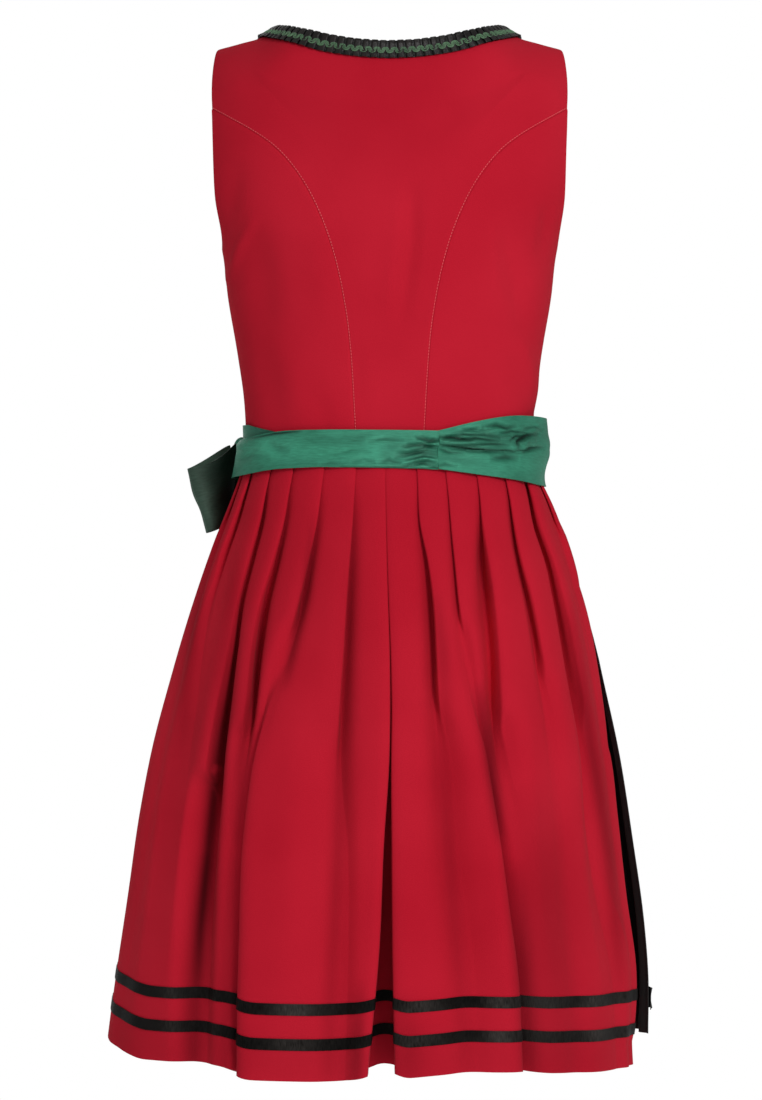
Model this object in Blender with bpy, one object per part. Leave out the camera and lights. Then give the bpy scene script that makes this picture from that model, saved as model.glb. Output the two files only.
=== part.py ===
"""A dirndl: a sleeveless red bodice on a knee-length pleated skirt, with its apron, sash and bow.

The dress is empty and keeps the form it has when worn. Metres, +Z up. The front faces -Y and the
wearer's left is +X. The origin lies between the shoulders, at the height where they carry the dress.

An angle round the dress is 0 at centre back, 90 at the wearer's left side and 180 at centre front.
"""

import math
from collections import namedtuple

import bpy
import numpy as np

NAME = "dirndl"

# Cloth thicknesses and clearances
WALL = 0.0012
PLEAT_WALL = 0.0010
RIBBON_WALL = 0.0010
SEAM_GAP = 0.0004
LAY_GAP = 0.0004

# Heights
WAIST_Z = -0.3895
SKIRT_TOP_Z = -0.3902
HEM_Z = -0.9480
UNDERARM_Z = -0.1995

# Shoulders: the height of their ridge, which falls from the neck to the shoulder tip
RidgePoint = namedtuple("RidgePoint", "x z")
RIDGE = (
    RidgePoint(0.000, 0.0600),
    RidgePoint(0.060, 0.0440),
    RidgePoint(0.095, 0.0205),
    RidgePoint(0.1085, 0.0095),
    RidgePoint(0.120, 0.0020),
    RidgePoint(0.140, -0.0040),
    RidgePoint(0.163, -0.0100),
    RidgePoint(0.190, -0.0190),
)
NECK_X, NECK_Z = 0.1085, 0.0095
TIP_X, TIP_Z = 0.163, -0.0100
SHOULDER_ROUND = 0.055

# Necklines
BACK_NECK_Z = -0.0150
BACK_NECK_POWER = 3.2
FRONT_NECK_Z = -0.165
FRONT_NECK_SQUARE = 2.7

# Armhole, an ellipse seen from the side
ARMHOLE_BACK_REACH = 0.055
ARMHOLE_FRONT_REACH = 0.062

BODY_SQUARE = 2.3
SKIRT_SQUARE = 2.15

# Half-widths and half-depths of the bodice
BodyRing = namedtuple("BodyRing", "z side back front")
BODY = (
    BodyRing(-0.400, 0.1360, 0.0975, 0.0995),
    BodyRing(-0.375, 0.1362, 0.0975, 0.1000),
    BodyRing(-0.342, 0.1380, 0.0995, 0.1030),
    BodyRing(-0.300, 0.1440, 0.1050, 0.1110),
    BodyRing(-0.247, 0.1530, 0.1120, 0.1260),
    BodyRing(-0.200, 0.1590, 0.1160, 0.1350),
    BodyRing(-0.152, 0.1740, 0.1170, 0.1330),
    BodyRing(-0.095, 0.1810, 0.1140, 0.1180),
    BodyRing(-0.050, 0.1800, 0.1050, 0.1020),
    BodyRing(0.000, 0.1780, 0.0900, 0.0820),
    BodyRing(0.030, 0.1780, 0.0800, 0.0700),
)

# Seams of the bodice on its left half, from the waist up, as seen from behind or from the front
SeamPoint = namedtuple("SeamPoint", "x z")
BACK_SEAM = (
    SeamPoint(0.031, WAIST_Z),
    SeamPoint(0.040, -0.270),
    SeamPoint(0.062, -0.183),
    SeamPoint(0.101, -0.119),
)
BACK_SEAM_TOP_Z = -0.072
FRONT_SEAM = (
    SeamPoint(0.052, WAIST_Z),
    SeamPoint(0.070, -0.290),
    SeamPoint(0.084, -0.205),
    SeamPoint(0.108, -0.140),
)
FRONT_SEAM_TOP_Z = -0.095

# Half-widths and half-depths of the skirt, without the relief of its folds
SkirtRing = namedtuple("SkirtRing", "z left right back front")
SKIRT = (
    SkirtRing(-0.385, 0.1360, 0.1360, 0.0975, 0.0995),
    SkirtRing(-0.412, 0.1400, 0.1400, 0.1010, 0.1030),
    SkirtRing(-0.440, 0.1500, 0.1500, 0.1110, 0.1110),
    SkirtRing(-0.480, 0.1640, 0.1615, 0.1250, 0.1220),
    SkirtRing(-0.530, 0.1800, 0.1765, 0.1380, 0.1330),
    SkirtRing(-0.600, 0.2010, 0.1895, 0.1500, 0.1440),
    SkirtRing(-0.660, 0.2170, 0.1970, 0.1580, 0.1510),
    SkirtRing(-0.730, 0.2300, 0.1990, 0.1630, 0.1560),
    SkirtRing(-0.800, 0.2410, 0.2050, 0.1670, 0.1600),
    SkirtRing(-0.870, 0.2520, 0.2180, 0.1700, 0.1630),
    SkirtRing(-0.955, 0.2640, 0.2270, 0.1720, 0.1650),
)
SKIRT_ROWS = (SKIRT_TOP_Z, -0.412, -0.440, -0.480, -0.530, -0.595, -0.660, -0.730, -0.800, -0.868, HEM_Z)

# The skirt's folds at five heights. The angle is that of the edge that shows. The lap is how far the
# cloth runs back under it, in millimetres, and a lap below zero is the width of an open wave. The step
# is the height of the fold, in millimetres: above zero the cloth farther from centre back lies on top.
FOLD_HEIGHTS = (-0.412, -0.530, -0.660, -0.800, -0.948)
Fold = namedtuple("Fold", "angles laps steps")
LEFT_BACK_FOLDS = (
    Fold((0.4, 0.4, 0.8, 1.4, 3.9), (10, 9, 8, 9, 10), (6.0, 7.0, 9.0, 12.0, 14.0)),
    Fold((11.2, 10.1, 10.4, 10.8, 10.7), (10, 3, -16, -30, -30), (6.0, 8.0, 6.0, 4.0, 3.0)),
    Fold((23.1, 26.6, 31.0, 32.0, 30.8), (10, 3, -16, 2, 9), (6.0, 8.0, 0.0, -12.0, -14.0)),
    Fold((37.4, 37.7, 39.5, 39.0, 38.5), (10, 6, -6, -28, -32), (6.0, 11.0, 15.0, 5.0, 4.0)),
    Fold((51.5, 47.4, 46.4, 47.2, 47.4), (10, 4, -8, -18, -24), (6.0, 9.0, 12.0, 14.0, 12.0)),
    Fold((69.0, 66.8, 60.0, 60.6, 61.6), (10, 3, -14, -26, -30), (6.0, 8.0, 8.0, 7.0, 9.0)),
    Fold((84.0, 82.0, 77.0, 76.0, 77.0), (9, 2, -16, -28, -30), (6.0, 7.0, 7.0, 8.0, 9.0)),
)
RIGHT_BACK_FOLDS = (
    Fold((0.4, 0.4, 0.4, 0.5, 0.7), (10, 9, 8, 9, 10), (6.0, 7.0, 9.0, 12.0, 14.0)),
    Fold((9.4, 11.6, 11.9, 12.8, 13.5), (10, 3, -16, -30, -30), (6.0, 8.0, 6.0, 4.0, 3.0)),
    Fold((20.7, 19.5, 22.0, 25.1, 24.3), (10, 3, -16, 2, 9), (6.0, 8.0, 0.0, -12.0, -14.0)),
    Fold((33.6, 30.9, 31.0, 33.0, 33.0), (10, 6, -5, -28, -30), (6.0, 11.0, 15.0, 5.0, 4.0)),
    Fold((47.7, 44.5, 44.6, 46.0, 46.3), (10, 4, -12, -24, -28), (6.0, 8.0, 8.0, 7.0, 7.0)),
    Fold((64.1, 61.9, 60.0, 61.9, 61.4), (10, 3, -10, -24, -28), (6.0, 8.0, 9.0, 9.0, 9.0)),
    Fold((82.0, 80.0, 77.0, 76.0, 76.0), (9, 2, -14, -26, -28), (6.0, 7.0, 8.0, 9.0, 9.0)),
)
SIDE_SEAM_ANGLE = 92.0
BACK_SEAM_ANGLE = 0.3
FRONT_FOLD_COUNT = 6
FRONT_LAPS = (9, 2, -12, -22, -26)
FRONT_STEPS = (-6.0, -7.0, -7.0, -7.5, -7.5)

# How far the hem hangs below HEM_Z round the dress, with angles below zero on the wearer's right
HemPoint = namedtuple("HemPoint", "angle drop")
HEM_LINE = (
    HemPoint(-180.0, 0.000),
    HemPoint(-125.0, 0.012),
    HemPoint(-88.0, 0.0235),
    HemPoint(-60.0, 0.0165),
    HemPoint(-30.0, 0.0110),
    HemPoint(-6.0, 0.0090),
    HemPoint(0.5, 0.0030),
    HemPoint(6.0, 0.0125),
    HemPoint(28.0, 0.0145),
    HemPoint(34.0, 0.0095),
    HemPoint(60.0, 0.0090),
    HemPoint(92.0, 0.0000),
    HemPoint(180.0, 0.000),
)

# Ribbons round the hem: height of their middle over the hem, and width
RIBBON_RISES = (("upper", 0.0615), ("lower", 0.0315))
RIBBON_WIDTH = 0.0100

# Apron. Its right side stands off the skirt, its left side follows it.
ApronRing = namedtuple("ApronRing", "z left right front")
APRON = (
    ApronRing(-0.3860, 0.1430, 0.1430, 0.1065),
    ApronRing(-0.4120, 0.1475, 0.1480, 0.1105),
    ApronRing(-0.4400, 0.1580, 0.1590, 0.1190),
    ApronRing(-0.4800, 0.1735, 0.1705, 0.1310),
    ApronRing(-0.5300, 0.1910, 0.1855, 0.1430),
    ApronRing(-0.6000, 0.2115, 0.2005, 0.1550),
    ApronRing(-0.6800, 0.2310, 0.2140, 0.1650),
    ApronRing(-0.7600, 0.2455, 0.2270, 0.1710),
    ApronRing(-0.8400, 0.2585, 0.2395, 0.1760),
    ApronRing(-0.9450, 0.2730, 0.2480, 0.1790),
)
APRON_LEFT_ANGLE, APRON_RIGHT_ANGLE = 112.0, 268.0
APRON_GATHERS = 22
APRON_RELIEF_TOP, APRON_RELIEF_HEM = 0.0010, 0.0042
APRON_ROWS = (-0.3860, -0.4120, -0.4400, -0.4850, -0.5550, -0.6600, -0.7900, -0.9450)
APRON_CREST = 0.90
APRON_RUCHES = 32
APRON_RUCHE_RISE, APRON_RUCHE_HEIGHT, APRON_RUCHE_RELIEF = 0.0230, 0.0200, 0.0020

# Ruched ribbon and gimp braid round the neck
NECK_PLEATS = 84
NECK_RIBBON_WIDTH = 0.0180
NECK_PLEAT_RELIEF = 0.0016
NECK_STAND = 0.0011
NECK_EDGE_INSET = 0.0004
GIMP_WIDTH, GIMP_SHIFT, GIMP_THICKNESS = 0.0062, 0.0011, 0.0014
GIMP_CLEARANCE = 0.0011

# Sash. Heights of its edges, and how far its middle stands off the waist below and at its top edge.
# It is parallel to the waist up to SASH_LEAN_RISE over it, and leans in from there to its top edge.
SASH_LEAN_RISE = 0.0045
SASH_EASE = 0.0006
SASH_ROWS = 5
SashStation = namedtuple("SashStation", "angle top bottom stand top_stand")
SASH_BAND = (
    SashStation(-16.7, -0.3745, -0.4100, 0.0056, 0.0022),
    SashStation(0.0, -0.3740, -0.4085, 0.0056, 0.0022),
    SashStation(25.0, -0.3735, -0.4080, 0.0056, 0.0034),
    SashStation(40.0, -0.3738, -0.4090, 0.0057, 0.0044),
    SashStation(75.0, -0.3800, -0.4150, 0.0066, 0.0046),
    SashStation(112.0, -0.3795, -0.4160, 0.0116, 0.0058),
    SashStation(120.0, -0.3790, -0.4160, 0.0118, 0.0060),
)
SASH_RIGHT = (
    SashStation(-100.0, -0.3620, -0.4240, 0.0122, 0.0048),
    SashStation(-88.0, -0.3600, -0.4240, 0.0116, 0.0040),
    SashStation(-70.0, -0.3590, -0.4240, 0.0074, 0.0030),
    SashStation(-50.0, -0.3600, -0.4190, 0.0060, 0.0024),
    SashStation(-30.0, -0.3670, -0.4140, 0.0058, 0.0022),
    SashStation(-16.7, -0.3745, -0.4100, 0.0056, 0.0022),
)
SASH_FRONT = (
    SashStation(120.0, -0.3700, -0.4190, 0.0114, 0.0048),
    SashStation(150.0, -0.3680, -0.4180, 0.0114, 0.0048),
    SashStation(200.0, -0.3660, -0.4200, 0.0116, 0.0048),
    SashStation(235.0, -0.3640, -0.4230, 0.0120, 0.0048),
    SashStation(260.0, -0.3620, -0.4240, 0.0122, 0.0048),
)
UNDER_LAYER_ANGLES = (42.0, 119.0)
UNDER_LAYER_TOP, UNDER_LAYER_BOTTOM = -0.3655, -0.3835
UNDER_LAYER_STAND, UNDER_LAYER_WALL = 0.0014, 0.0010

# Bow at the wearer's left front
BOW_ANGLE = 120.0
BOW_Z = -0.3950
KNOT_SIZE = (0.030, 0.022, 0.040)
KNOT_FULLNESS = 0.75
KNOT_CLEARANCE = 0.0010
LOOP_THROAT, LOOP_WIDTH = 0.022, 0.064
LOOP_THROAT_OPENING, LOOP_OPENING = 0.0064, 0.026
LOOP_ROUNDNESS, LOOP_FLARE = 0.7, 0.8
# Loops of the bow: where the end's middle lies, the way its edge runs down, and the start off the knot
BowLoop = namedtuple("BowLoop", "name end edge side throat_out")
LOOPS = (
    BowLoop("bow_loop_back", (0.1830, -0.0180, -0.4370), (-0.0190, 0.0040, -0.0614), 1, 0.0190),
    BowLoop("bow_loop_front", (0.0930, -0.1660, -0.4340), (0.0140, -0.0040, -0.0614), -1, 0.0166),
)
TAIL_WIDTH, TAIL_TOP_SHARE, TAIL_SPREAD_SHARE = 0.060, 0.35, 0.25
TAIL_RIPPLE, TAIL_SLANT = 0.0010, 0.016
BowTail = namedtuple("BowTail", "name angle_top angle_end length stand")
TAILS = (
    BowTail("bow_tail_back", 118.5, 119.0, 0.300, 0.0100),
    BowTail("bow_tail_front", 121.5, 133.0, 0.340, 0.0140),
)

Finish = namedtuple("Finish", "colour roughness")
FINISHES = {
    "red_wool": Finish((0.440, 0.012, 0.026, 1.0), 0.85),
    "green_taffeta": Finish((0.022, 0.190, 0.110, 1.0), 0.40),
    "black_satin": Finish((0.012, 0.011, 0.011, 1.0), 0.35),
    "black_cotton": Finish((0.010, 0.010, 0.011, 1.0), 0.80),
    "green_gimp": Finish((0.050, 0.230, 0.110, 1.0), 0.65),
}


def column(table, field, z):
    """A column of a table, read at values of its first column along a smooth curve."""
    keys = np.array([row[0] for row in table], float)
    values = np.array([getattr(row, field) for row in table], float)
    order = np.argsort(keys)
    return smooth_read(np.asarray(z, float), keys[order], values[order])


def smooth_read(at, keys, values):
    """Cubic reading of values at rising keys, with the slope at each key taken from its neighbours."""
    slopes = np.gradient(values, keys)
    at = np.clip(at, keys[0], keys[-1])
    i = np.clip(np.searchsorted(keys, at) - 1, 0, len(keys) - 2)
    span = keys[i + 1] - keys[i]
    t = (at - keys[i]) / span
    rise = values[i + 1] - values[i]
    first = t * t * (3 - 2 * t) * rise
    second = span * (slopes[i] * t * (1 - t) ** 2 - slopes[i + 1] * t * t * (1 - t))
    return values[i] + first + second


def unit(vectors):
    return vectors / np.linalg.norm(vectors, axis=-1, keepdims=True)


def resample(points, count):
    """count points along a polyline, evenly spaced."""
    points = np.asarray(points, float)
    steps = np.linalg.norm(np.diff(points, axis=0), axis=1)
    along = np.concatenate([[0.0], np.cumsum(steps)])
    at = np.linspace(0.0, along[-1], count)
    return np.stack([np.interp(at, along, points[:, k]) for k in range(points.shape[1])], axis=1)


def spline(points, count):
    """A smooth curve through a few points, as count points evenly spaced."""
    points = np.asarray(points, float)
    keys = np.arange(len(points), dtype=float)
    fine = np.linspace(0.0, keys[-1], 20 * len(points))
    curve = np.stack([smooth_read(fine, keys, points[:, k]) for k in range(points.shape[1])], axis=1)
    return resample(curve, count)


def shoulder_z(x):
    """Height of the ridge of the shoulders."""
    return column(RIDGE, "z", np.abs(x))


def depth_squared(x, z, back):
    """Square of the bodice's depth at x and z, behind (back true) or in front."""
    side = column(BODY, "side", z)
    depth = np.where(back, column(BODY, "back", z), column(BODY, "front", z))
    fall = 1.0 - (np.abs(x) / side) ** BODY_SQUARE
    across = np.sign(fall) * np.abs(fall) ** (2.0 / BODY_SQUARE)
    q = np.minimum((shoulder_z(x) - z) / SHOULDER_ROUND, 1.0)
    return depth * depth * across * (2.0 * q - q * q)


def outside(points):
    """Below zero inside the bodice, above zero outside it."""
    x, y, z = points[..., 0], points[..., 1], points[..., 2]
    return y * y - depth_squared(x, z, y >= 0)


def body_slope(points):
    nudge = 1e-5
    slope = np.empty_like(points)
    for k in range(3):
        shift = np.zeros(3)
        shift[k] = nudge
        slope[..., k] = (outside(points + shift) - outside(points - shift)) / (2 * nudge)
    return slope


def on_body(points):
    """Points moved onto the bodice's surface, the shortest way."""
    points = np.array(points, float)
    for _ in range(12):
        slope = body_slope(points)
        size = np.maximum((slope * slope).sum(axis=-1, keepdims=True), 1e-9)
        step = slope * (outside(points)[..., None] / size)
        points -= np.clip(step, -0.004, 0.004)
    return points


def body_normal(points):
    return unit(body_slope(points))


def body_from_xz(x, z, back):
    """Point of the bodice at x and z."""
    y = np.sqrt(np.maximum(depth_squared(np.asarray(x, float), np.asarray(z, float), back), 0.0))
    return np.stack([x, y if back else -y, z], axis=-1)


def body_from_yz(y, z):
    """Point of the left half of the bodice at y and z, found by halving."""
    near, far = 0.05, float(column(BODY, "side", z))
    for _ in range(40):
        middle = (near + far) / 2
        if depth_squared(middle, z, y >= 0) > y * y:
            near = middle
        else:
            far = middle
    return (middle, y, z)


def body_ring(angles, z):
    """Points of the bodice round its ring at z."""
    turn = np.radians(angles)
    power = 2.0 / BODY_SQUARE
    depth = np.where(np.cos(turn) >= 0, column(BODY, "back", z), column(BODY, "front", z))
    x = column(BODY, "side", z) * np.sign(np.sin(turn)) * np.abs(np.sin(turn)) ** power
    y = depth * np.sign(np.cos(turn)) * np.abs(np.cos(turn)) ** power
    return np.stack([x, y, np.full_like(x, z)], axis=-1)


def ring_angle(x, z):
    """Angle on the back half of the bodice's ring at which it reaches x."""
    share = (abs(x) / float(column(BODY, "side", z))) ** (BODY_SQUARE / 2.0)
    return math.degrees(math.asin(min(share, 1.0)))


def mirrored(grid):
    """The same grid on the other side of the dress, with its columns turned round."""
    return (grid * np.array([-1.0, 1.0, 1.0]))[:, ::-1]


def patch(bottom, top, left, right):
    """Grid of points on the bodice between four edges. Left and right run upward."""
    across = np.linspace(0.0, 1.0, len(bottom))[None, :, None]
    up = np.linspace(0.0, 1.0, len(left))[:, None, None]
    grid = (1 - up) * bottom[None] + up * top[None]
    grid = grid + (1 - across) * left[:, None] + across * right[:, None]
    corners = (1 - up) * ((1 - across) * bottom[0] + across * bottom[-1])
    corners = corners + up * ((1 - across) * top[0] + across * top[-1])
    grid = grid - corners
    inner = on_body(grid[1:-1, 1:-1])
    grid[1:-1, 1:-1] = inner
    return grid


def drawn_in(grid, sides, distance):
    """A grid whose named sides are pulled in by a distance, for the gap at a seam."""
    grid = grid.copy()
    if "left" in sides:
        grid[:, 0] += unit(grid[:, 1] - grid[:, 0]) * distance
    if "right" in sides:
        grid[:, -1] += unit(grid[:, -2] - grid[:, -1]) * distance
    if "top" in sides:
        grid[-1] += unit(grid[-2] - grid[-1]) * distance
    return grid


def material(finish_name):
    made = bpy.data.materials.get(finish_name)
    if made is None:
        finish = FINISHES[finish_name]
        made = bpy.data.materials.new(finish_name)
        made.use_nodes = True
        shader = made.node_tree.nodes["Principled BSDF"]
        shader.inputs["Base Color"].default_value = finish.colour
        shader.inputs["Roughness"].default_value = finish.roughness
        made.diffuse_color = finish.colour
    return made


def add_object(name, mesh, finish_name):
    mesh.materials.append(material(finish_name))
    made = bpy.data.objects.new(name, mesh)
    bpy.data.collections[NAME].objects.link(made)
    return made


def add_wall(name, outer, inner, finish_name, closed=False):
    """A cloth wall between two grids of rows and columns. Outer faces out where rows rise and
    columns run anticlockwise seen from outside. A closed wall joins its last column to its first."""
    rows, columns = outer.shape[:2]
    count = rows * columns
    points = np.concatenate([outer.reshape(-1, 3), inner.reshape(-1, 3)])

    def at(row, col, back):
        return back * count + row * columns + col % columns

    faces = []
    spans = columns if closed else columns - 1
    for row in range(rows - 1):
        for col in range(spans):
            for back in (0, 1):
                low = [at(row, col, back), at(row, col + 1, back)]
                high = [at(row + 1, col + 1, back), at(row + 1, col, back)]
                quad = low + high
                faces.append(quad[::-1] if back else quad)
    for col in range(spans):
        faces.append([at(0, col + 1, 0), at(0, col, 0), at(0, col, 1), at(0, col + 1, 1)])
        last = rows - 1
        faces.append([at(last, col, 0), at(last, col + 1, 0), at(last, col + 1, 1), at(last, col, 1)])
    if not closed:
        last = columns - 1
        for row in range(rows - 1):
            faces.append([at(row, 0, 0), at(row + 1, 0, 0), at(row + 1, 0, 1), at(row, 0, 1)])
            faces.append([at(row + 1, last, 0), at(row, last, 0), at(row, last, 1), at(row + 1, last, 1)])
    mesh = bpy.data.meshes.new(name)
    mesh.from_pydata(points.tolist(), [], faces)
    if signed_volume(mesh) < 0:
        mesh.flip_normals()
    mesh.update()
    return add_object(name, mesh, finish_name)


def signed_volume(mesh):
    mesh.calc_loop_triangles()
    total = 0.0
    for triangle in mesh.loop_triangles:
        a, b, c = (mesh.vertices[i].co for i in triangle.vertices)
        total += a.dot(b.cross(c)) / 6.0
    return total


def armhole(count):
    """The left armhole from the shoulder tip down the back, under the arm and up the front."""
    middle_z = (TIP_Z + UNDERARM_Z) / 2
    half = (TIP_Z - UNDERARM_Z) / 2
    points = []
    for turn in np.linspace(0.0, 2 * math.pi, 241)[1:-1]:
        reach = ARMHOLE_BACK_REACH if turn < math.pi else ARMHOLE_FRONT_REACH
        points.append(body_from_yz(reach * math.sin(turn), middle_z + half * math.cos(turn)))
    points = [(TIP_X, 0.0, TIP_Z)] + points + [(TIP_X, 0.0, TIP_Z)]
    return resample(points, count)


def seam_line(table, armhole_points, top_z, back):
    """A seam from the waist to the armhole, ending on the armhole where it crosses top_z."""
    behind = armhole_points[:, 1] > 0
    side = armhole_points[behind == back]
    end = side[np.argmin(np.abs(side[:, 2] - top_z))]
    flat = spline([(p.x, p.z) for p in table] + [(end[0], end[2])], 60)
    curve = body_from_xz(flat[:, 0], flat[:, 1], back)
    curve[-1] = end
    return curve, end


def part_of(points, first, last):
    """The stretch of a polyline between its points nearest to first and last, in that order."""
    i = int(np.argmin(np.linalg.norm(points - first, axis=1)))
    j = int(np.argmin(np.linalg.norm(points - last, axis=1)))
    return points[i:j + 1] if i < j else points[j:i + 1][::-1]


def neckline_back(count):
    """The back neck edge from the left neck point to the right one."""
    x = NECK_X * np.cos(np.linspace(0.0, math.pi, 121))
    z = BACK_NECK_Z + (NECK_Z - BACK_NECK_Z) * (np.abs(x) / NECK_X) ** BACK_NECK_POWER
    return resample(body_from_xz(x, np.minimum(z, shoulder_z(x)), True), count)


def neckline_front(count):
    """The front neck edge from centre front to the left neck point."""
    turn = np.linspace(0.0, math.pi / 2, 121)
    x = NECK_X * np.sin(turn) ** (2 / FRONT_NECK_SQUARE)
    drop = np.cos(turn) ** (2 / FRONT_NECK_SQUARE)
    z = NECK_Z - (NECK_Z - FRONT_NECK_Z) * drop
    return resample(body_from_xz(x, np.minimum(z, shoulder_z(x)), False), count)


def shoulder_seam(count):
    """From the left neck point to the left shoulder tip, along the ridge."""
    x = np.linspace(NECK_X, TIP_X, count)
    return np.stack([x, np.zeros(count), shoulder_z(x)], axis=1)


def bodice_grids():
    """Outer surface of every bodice panel, by name."""
    hole = armhole(720)
    lowest = hole[np.argmin(hole[:, 2])]
    tip = hole[0]
    seam_rows, hole_rows = 9, 5
    back_seam, back_end = seam_line(BACK_SEAM, hole, BACK_SEAM_TOP_Z, True)
    front_seam, front_end = seam_line(FRONT_SEAM, hole, FRONT_SEAM_TOP_Z, False)
    back_seam = resample(back_seam, seam_rows)
    front_seam = resample(front_seam, seam_rows)
    back_half, front_half = hole[:len(hole) // 2 + 30], hole[len(hole) // 2 - 30:]
    side_z = np.linspace(WAIST_Z, lowest[2], seam_rows)
    side_seam = np.stack([column(BODY, "side", side_z), np.zeros(seam_rows), side_z], axis=1)

    # Centre back, from the right edge to the left one
    upper_hole = resample(part_of(back_half, back_end, tip), hole_rows)
    left_edge = np.concatenate([back_seam, upper_hole[1:]])
    right_edge = left_edge * np.array([-1.0, 1.0, 1.0])
    strap = shoulder_seam(4)
    neck = neckline_back(10)
    top = np.concatenate([strap[::-1], neck[1:-1], (strap * np.array([-1.0, 1.0, 1.0]))])[::-1]
    waist_turn = ring_angle(BACK_SEAM[0].x, WAIST_Z)
    bottom = body_ring(np.linspace(-waist_turn, waist_turn, len(top)), WAIST_Z)
    back = patch(bottom, top, right_edge, left_edge)
    grids = {"bodice_back": drawn_in(back, ("left", "right", "top"), SEAM_GAP / 2)}

    # Side back, from the back seam to the side seam
    columns = 6
    back_top = resample(part_of(back_half, back_end, lowest), columns)
    bottom = body_ring(np.linspace(waist_turn, 90.0, columns), WAIST_Z)
    side_back = drawn_in(patch(bottom, back_top, back_seam, side_seam), ("left", "right"), SEAM_GAP / 2)
    grids["bodice_side_back_left"] = side_back

    # Side front, from the side seam to the front seam
    front_turn = 180.0 - ring_angle(FRONT_SEAM[0].x, WAIST_Z)
    front_top = resample(part_of(front_half, lowest, front_end), columns)
    bottom = body_ring(np.linspace(90.0, front_turn, columns), WAIST_Z)
    side_front = drawn_in(patch(bottom, front_top, side_seam, front_seam), ("left", "right"), SEAM_GAP / 2)
    grids["bodice_side_front_left"] = side_front

    # Centre front, from the front seam to the front edge
    front_hole = resample(part_of(front_half, front_end, tip), hole_rows)
    outer_edge = np.concatenate([front_seam, front_hole[1:]])
    edge_z = np.linspace(WAIST_Z, FRONT_NECK_Z, 6)
    front_edge = body_from_xz(np.zeros(6), edge_z, False)
    neck_rows = len(outer_edge) - 5
    inner_edge = np.concatenate([front_edge, neckline_front(neck_rows)[1:]])
    strap = shoulder_seam(6)[::-1]
    bottom = body_ring(np.linspace(front_turn, 180.0, 6), WAIST_Z)
    front = drawn_in(patch(bottom, strap, outer_edge, inner_edge), ("left", "right", "top"), SEAM_GAP / 2)
    grids["bodice_front_left"] = front
    for name in ("bodice_side_back", "bodice_side_front", "bodice_front"):
        grids[name + "_right"] = mirrored(grids[name + "_left"])
    return grids


def make_bodice():
    for name, outer in bodice_grids().items():
        add_wall(name, outer, outer - body_normal(outer) * WALL, "red_wool")


def neck_loop(count):
    """The whole neck edge, once round from the left neck point over the back, as count points."""
    back = neckline_back(200)
    front = neckline_front(300)
    right_front = (front * np.array([-1.0, 1.0, 1.0]))[::-1]
    loop = np.concatenate([back, right_front[1:], front[1:]])
    return resample(loop, count + 1)[:-1]


def neck_strip(count, offsets, stands):
    """Grid of a strip that lies round the neck. Offsets are distances in from the neck edge, a row
    each, and stands are its heights over the bodice, a row each."""
    edge = on_body(neck_loop(count))
    run = unit(np.roll(edge, -1, axis=0) - np.roll(edge, 1, axis=0))
    inward = unit(np.cross(run, body_normal(edge)))
    inward = inward * np.sign((inward * (edge - np.array([0.0, 0.0, 0.10]))).sum(axis=1).mean())
    rows = []
    for offset, stand in zip(offsets, stands):
        line = edge
        for _ in range(4):
            line = on_body(line + inward * (np.asarray(offset)[..., None] / 4))
        rows.append(line + body_normal(line) * np.asarray(stand)[..., None])
    return np.array(rows)


def make_neck_trim():
    count = 2 * NECK_PLEATS
    lift = np.where(np.arange(count) % 2 == 0, 0.0, NECK_PLEAT_RELIEF)
    base = np.full(count, NECK_STAND)
    offsets = (NECK_EDGE_INSET, NECK_RIBBON_WIDTH)
    outer = neck_strip(count, offsets, (base + RIBBON_WALL + lift, base + RIBBON_WALL + lift))
    inner = neck_strip(count, offsets, (base + lift, base + lift))
    add_wall("neck_ruching", outer, inner, "black_satin", closed=True)

    count = NECK_PLEATS
    shift = np.where(np.arange(count) % 2 == 0, GIMP_SHIFT, -GIMP_SHIFT)
    middle = NECK_RIBBON_WIDTH / 2
    offsets = (middle - GIMP_WIDTH / 2 + shift, middle + GIMP_WIDTH / 2 + shift)
    low = np.full(count, NECK_STAND + RIBBON_WALL + NECK_PLEAT_RELIEF + GIMP_CLEARANCE)
    outer = neck_strip(count, offsets, (low + GIMP_THICKNESS, low + GIMP_THICKNESS))
    inner = neck_strip(count, offsets, (low, low))
    add_wall("neck_gimp", outer, inner, "green_gimp", closed=True)


def ring_curve(left, right, back, front, square):
    """A fine polyline once and a half round a ring, with the angle and the length at each point."""
    angles = np.arange(-190.0, 370.5, 0.5)
    turn = np.radians(angles)
    sine, cosine = np.sin(turn), np.cos(turn)
    power = 2.0 / square
    x = np.where(sine >= 0, left, right) * np.sign(sine) * np.abs(sine) ** power
    y = np.where(cosine >= 0, back, front) * np.sign(cosine) * np.abs(cosine) ** power
    points = np.stack([x, y], axis=1)
    along = np.concatenate([[0.0], np.cumsum(np.linalg.norm(np.diff(points, axis=0), axis=1))])
    return angles, points, along


class Ring:
    """A ring round the dress at one height, read by angle or by length along it."""

    def __init__(self, left, right, back, front, square):
        self.angles, self.points, self.lengths = ring_curve(left, right, back, front, square)

    def length_at(self, angle):
        return np.interp(angle, self.angles, self.lengths)

    def angle_at(self, length):
        return np.interp(length, self.lengths, self.angles)

    def place(self, length, stand):
        """Plan points at lengths along the ring, moved out by stand."""
        reach = 0.003
        here = self.read(length)
        run = unit(self.read(length + reach) - self.read(length - reach))
        outward = np.stack([-run[:, 1], run[:, 0]], axis=1)
        return here + outward * np.asarray(stand)[:, None]

    def read(self, length):
        return np.stack([np.interp(length, self.lengths, self.points[:, k]) for k in (0, 1)], axis=1)


def skirt_ring(z):
    sizes = [float(column(SKIRT, field, z)) for field in ("left", "right", "back", "front")]
    return Ring(*sizes, SKIRT_SQUARE)


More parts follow.
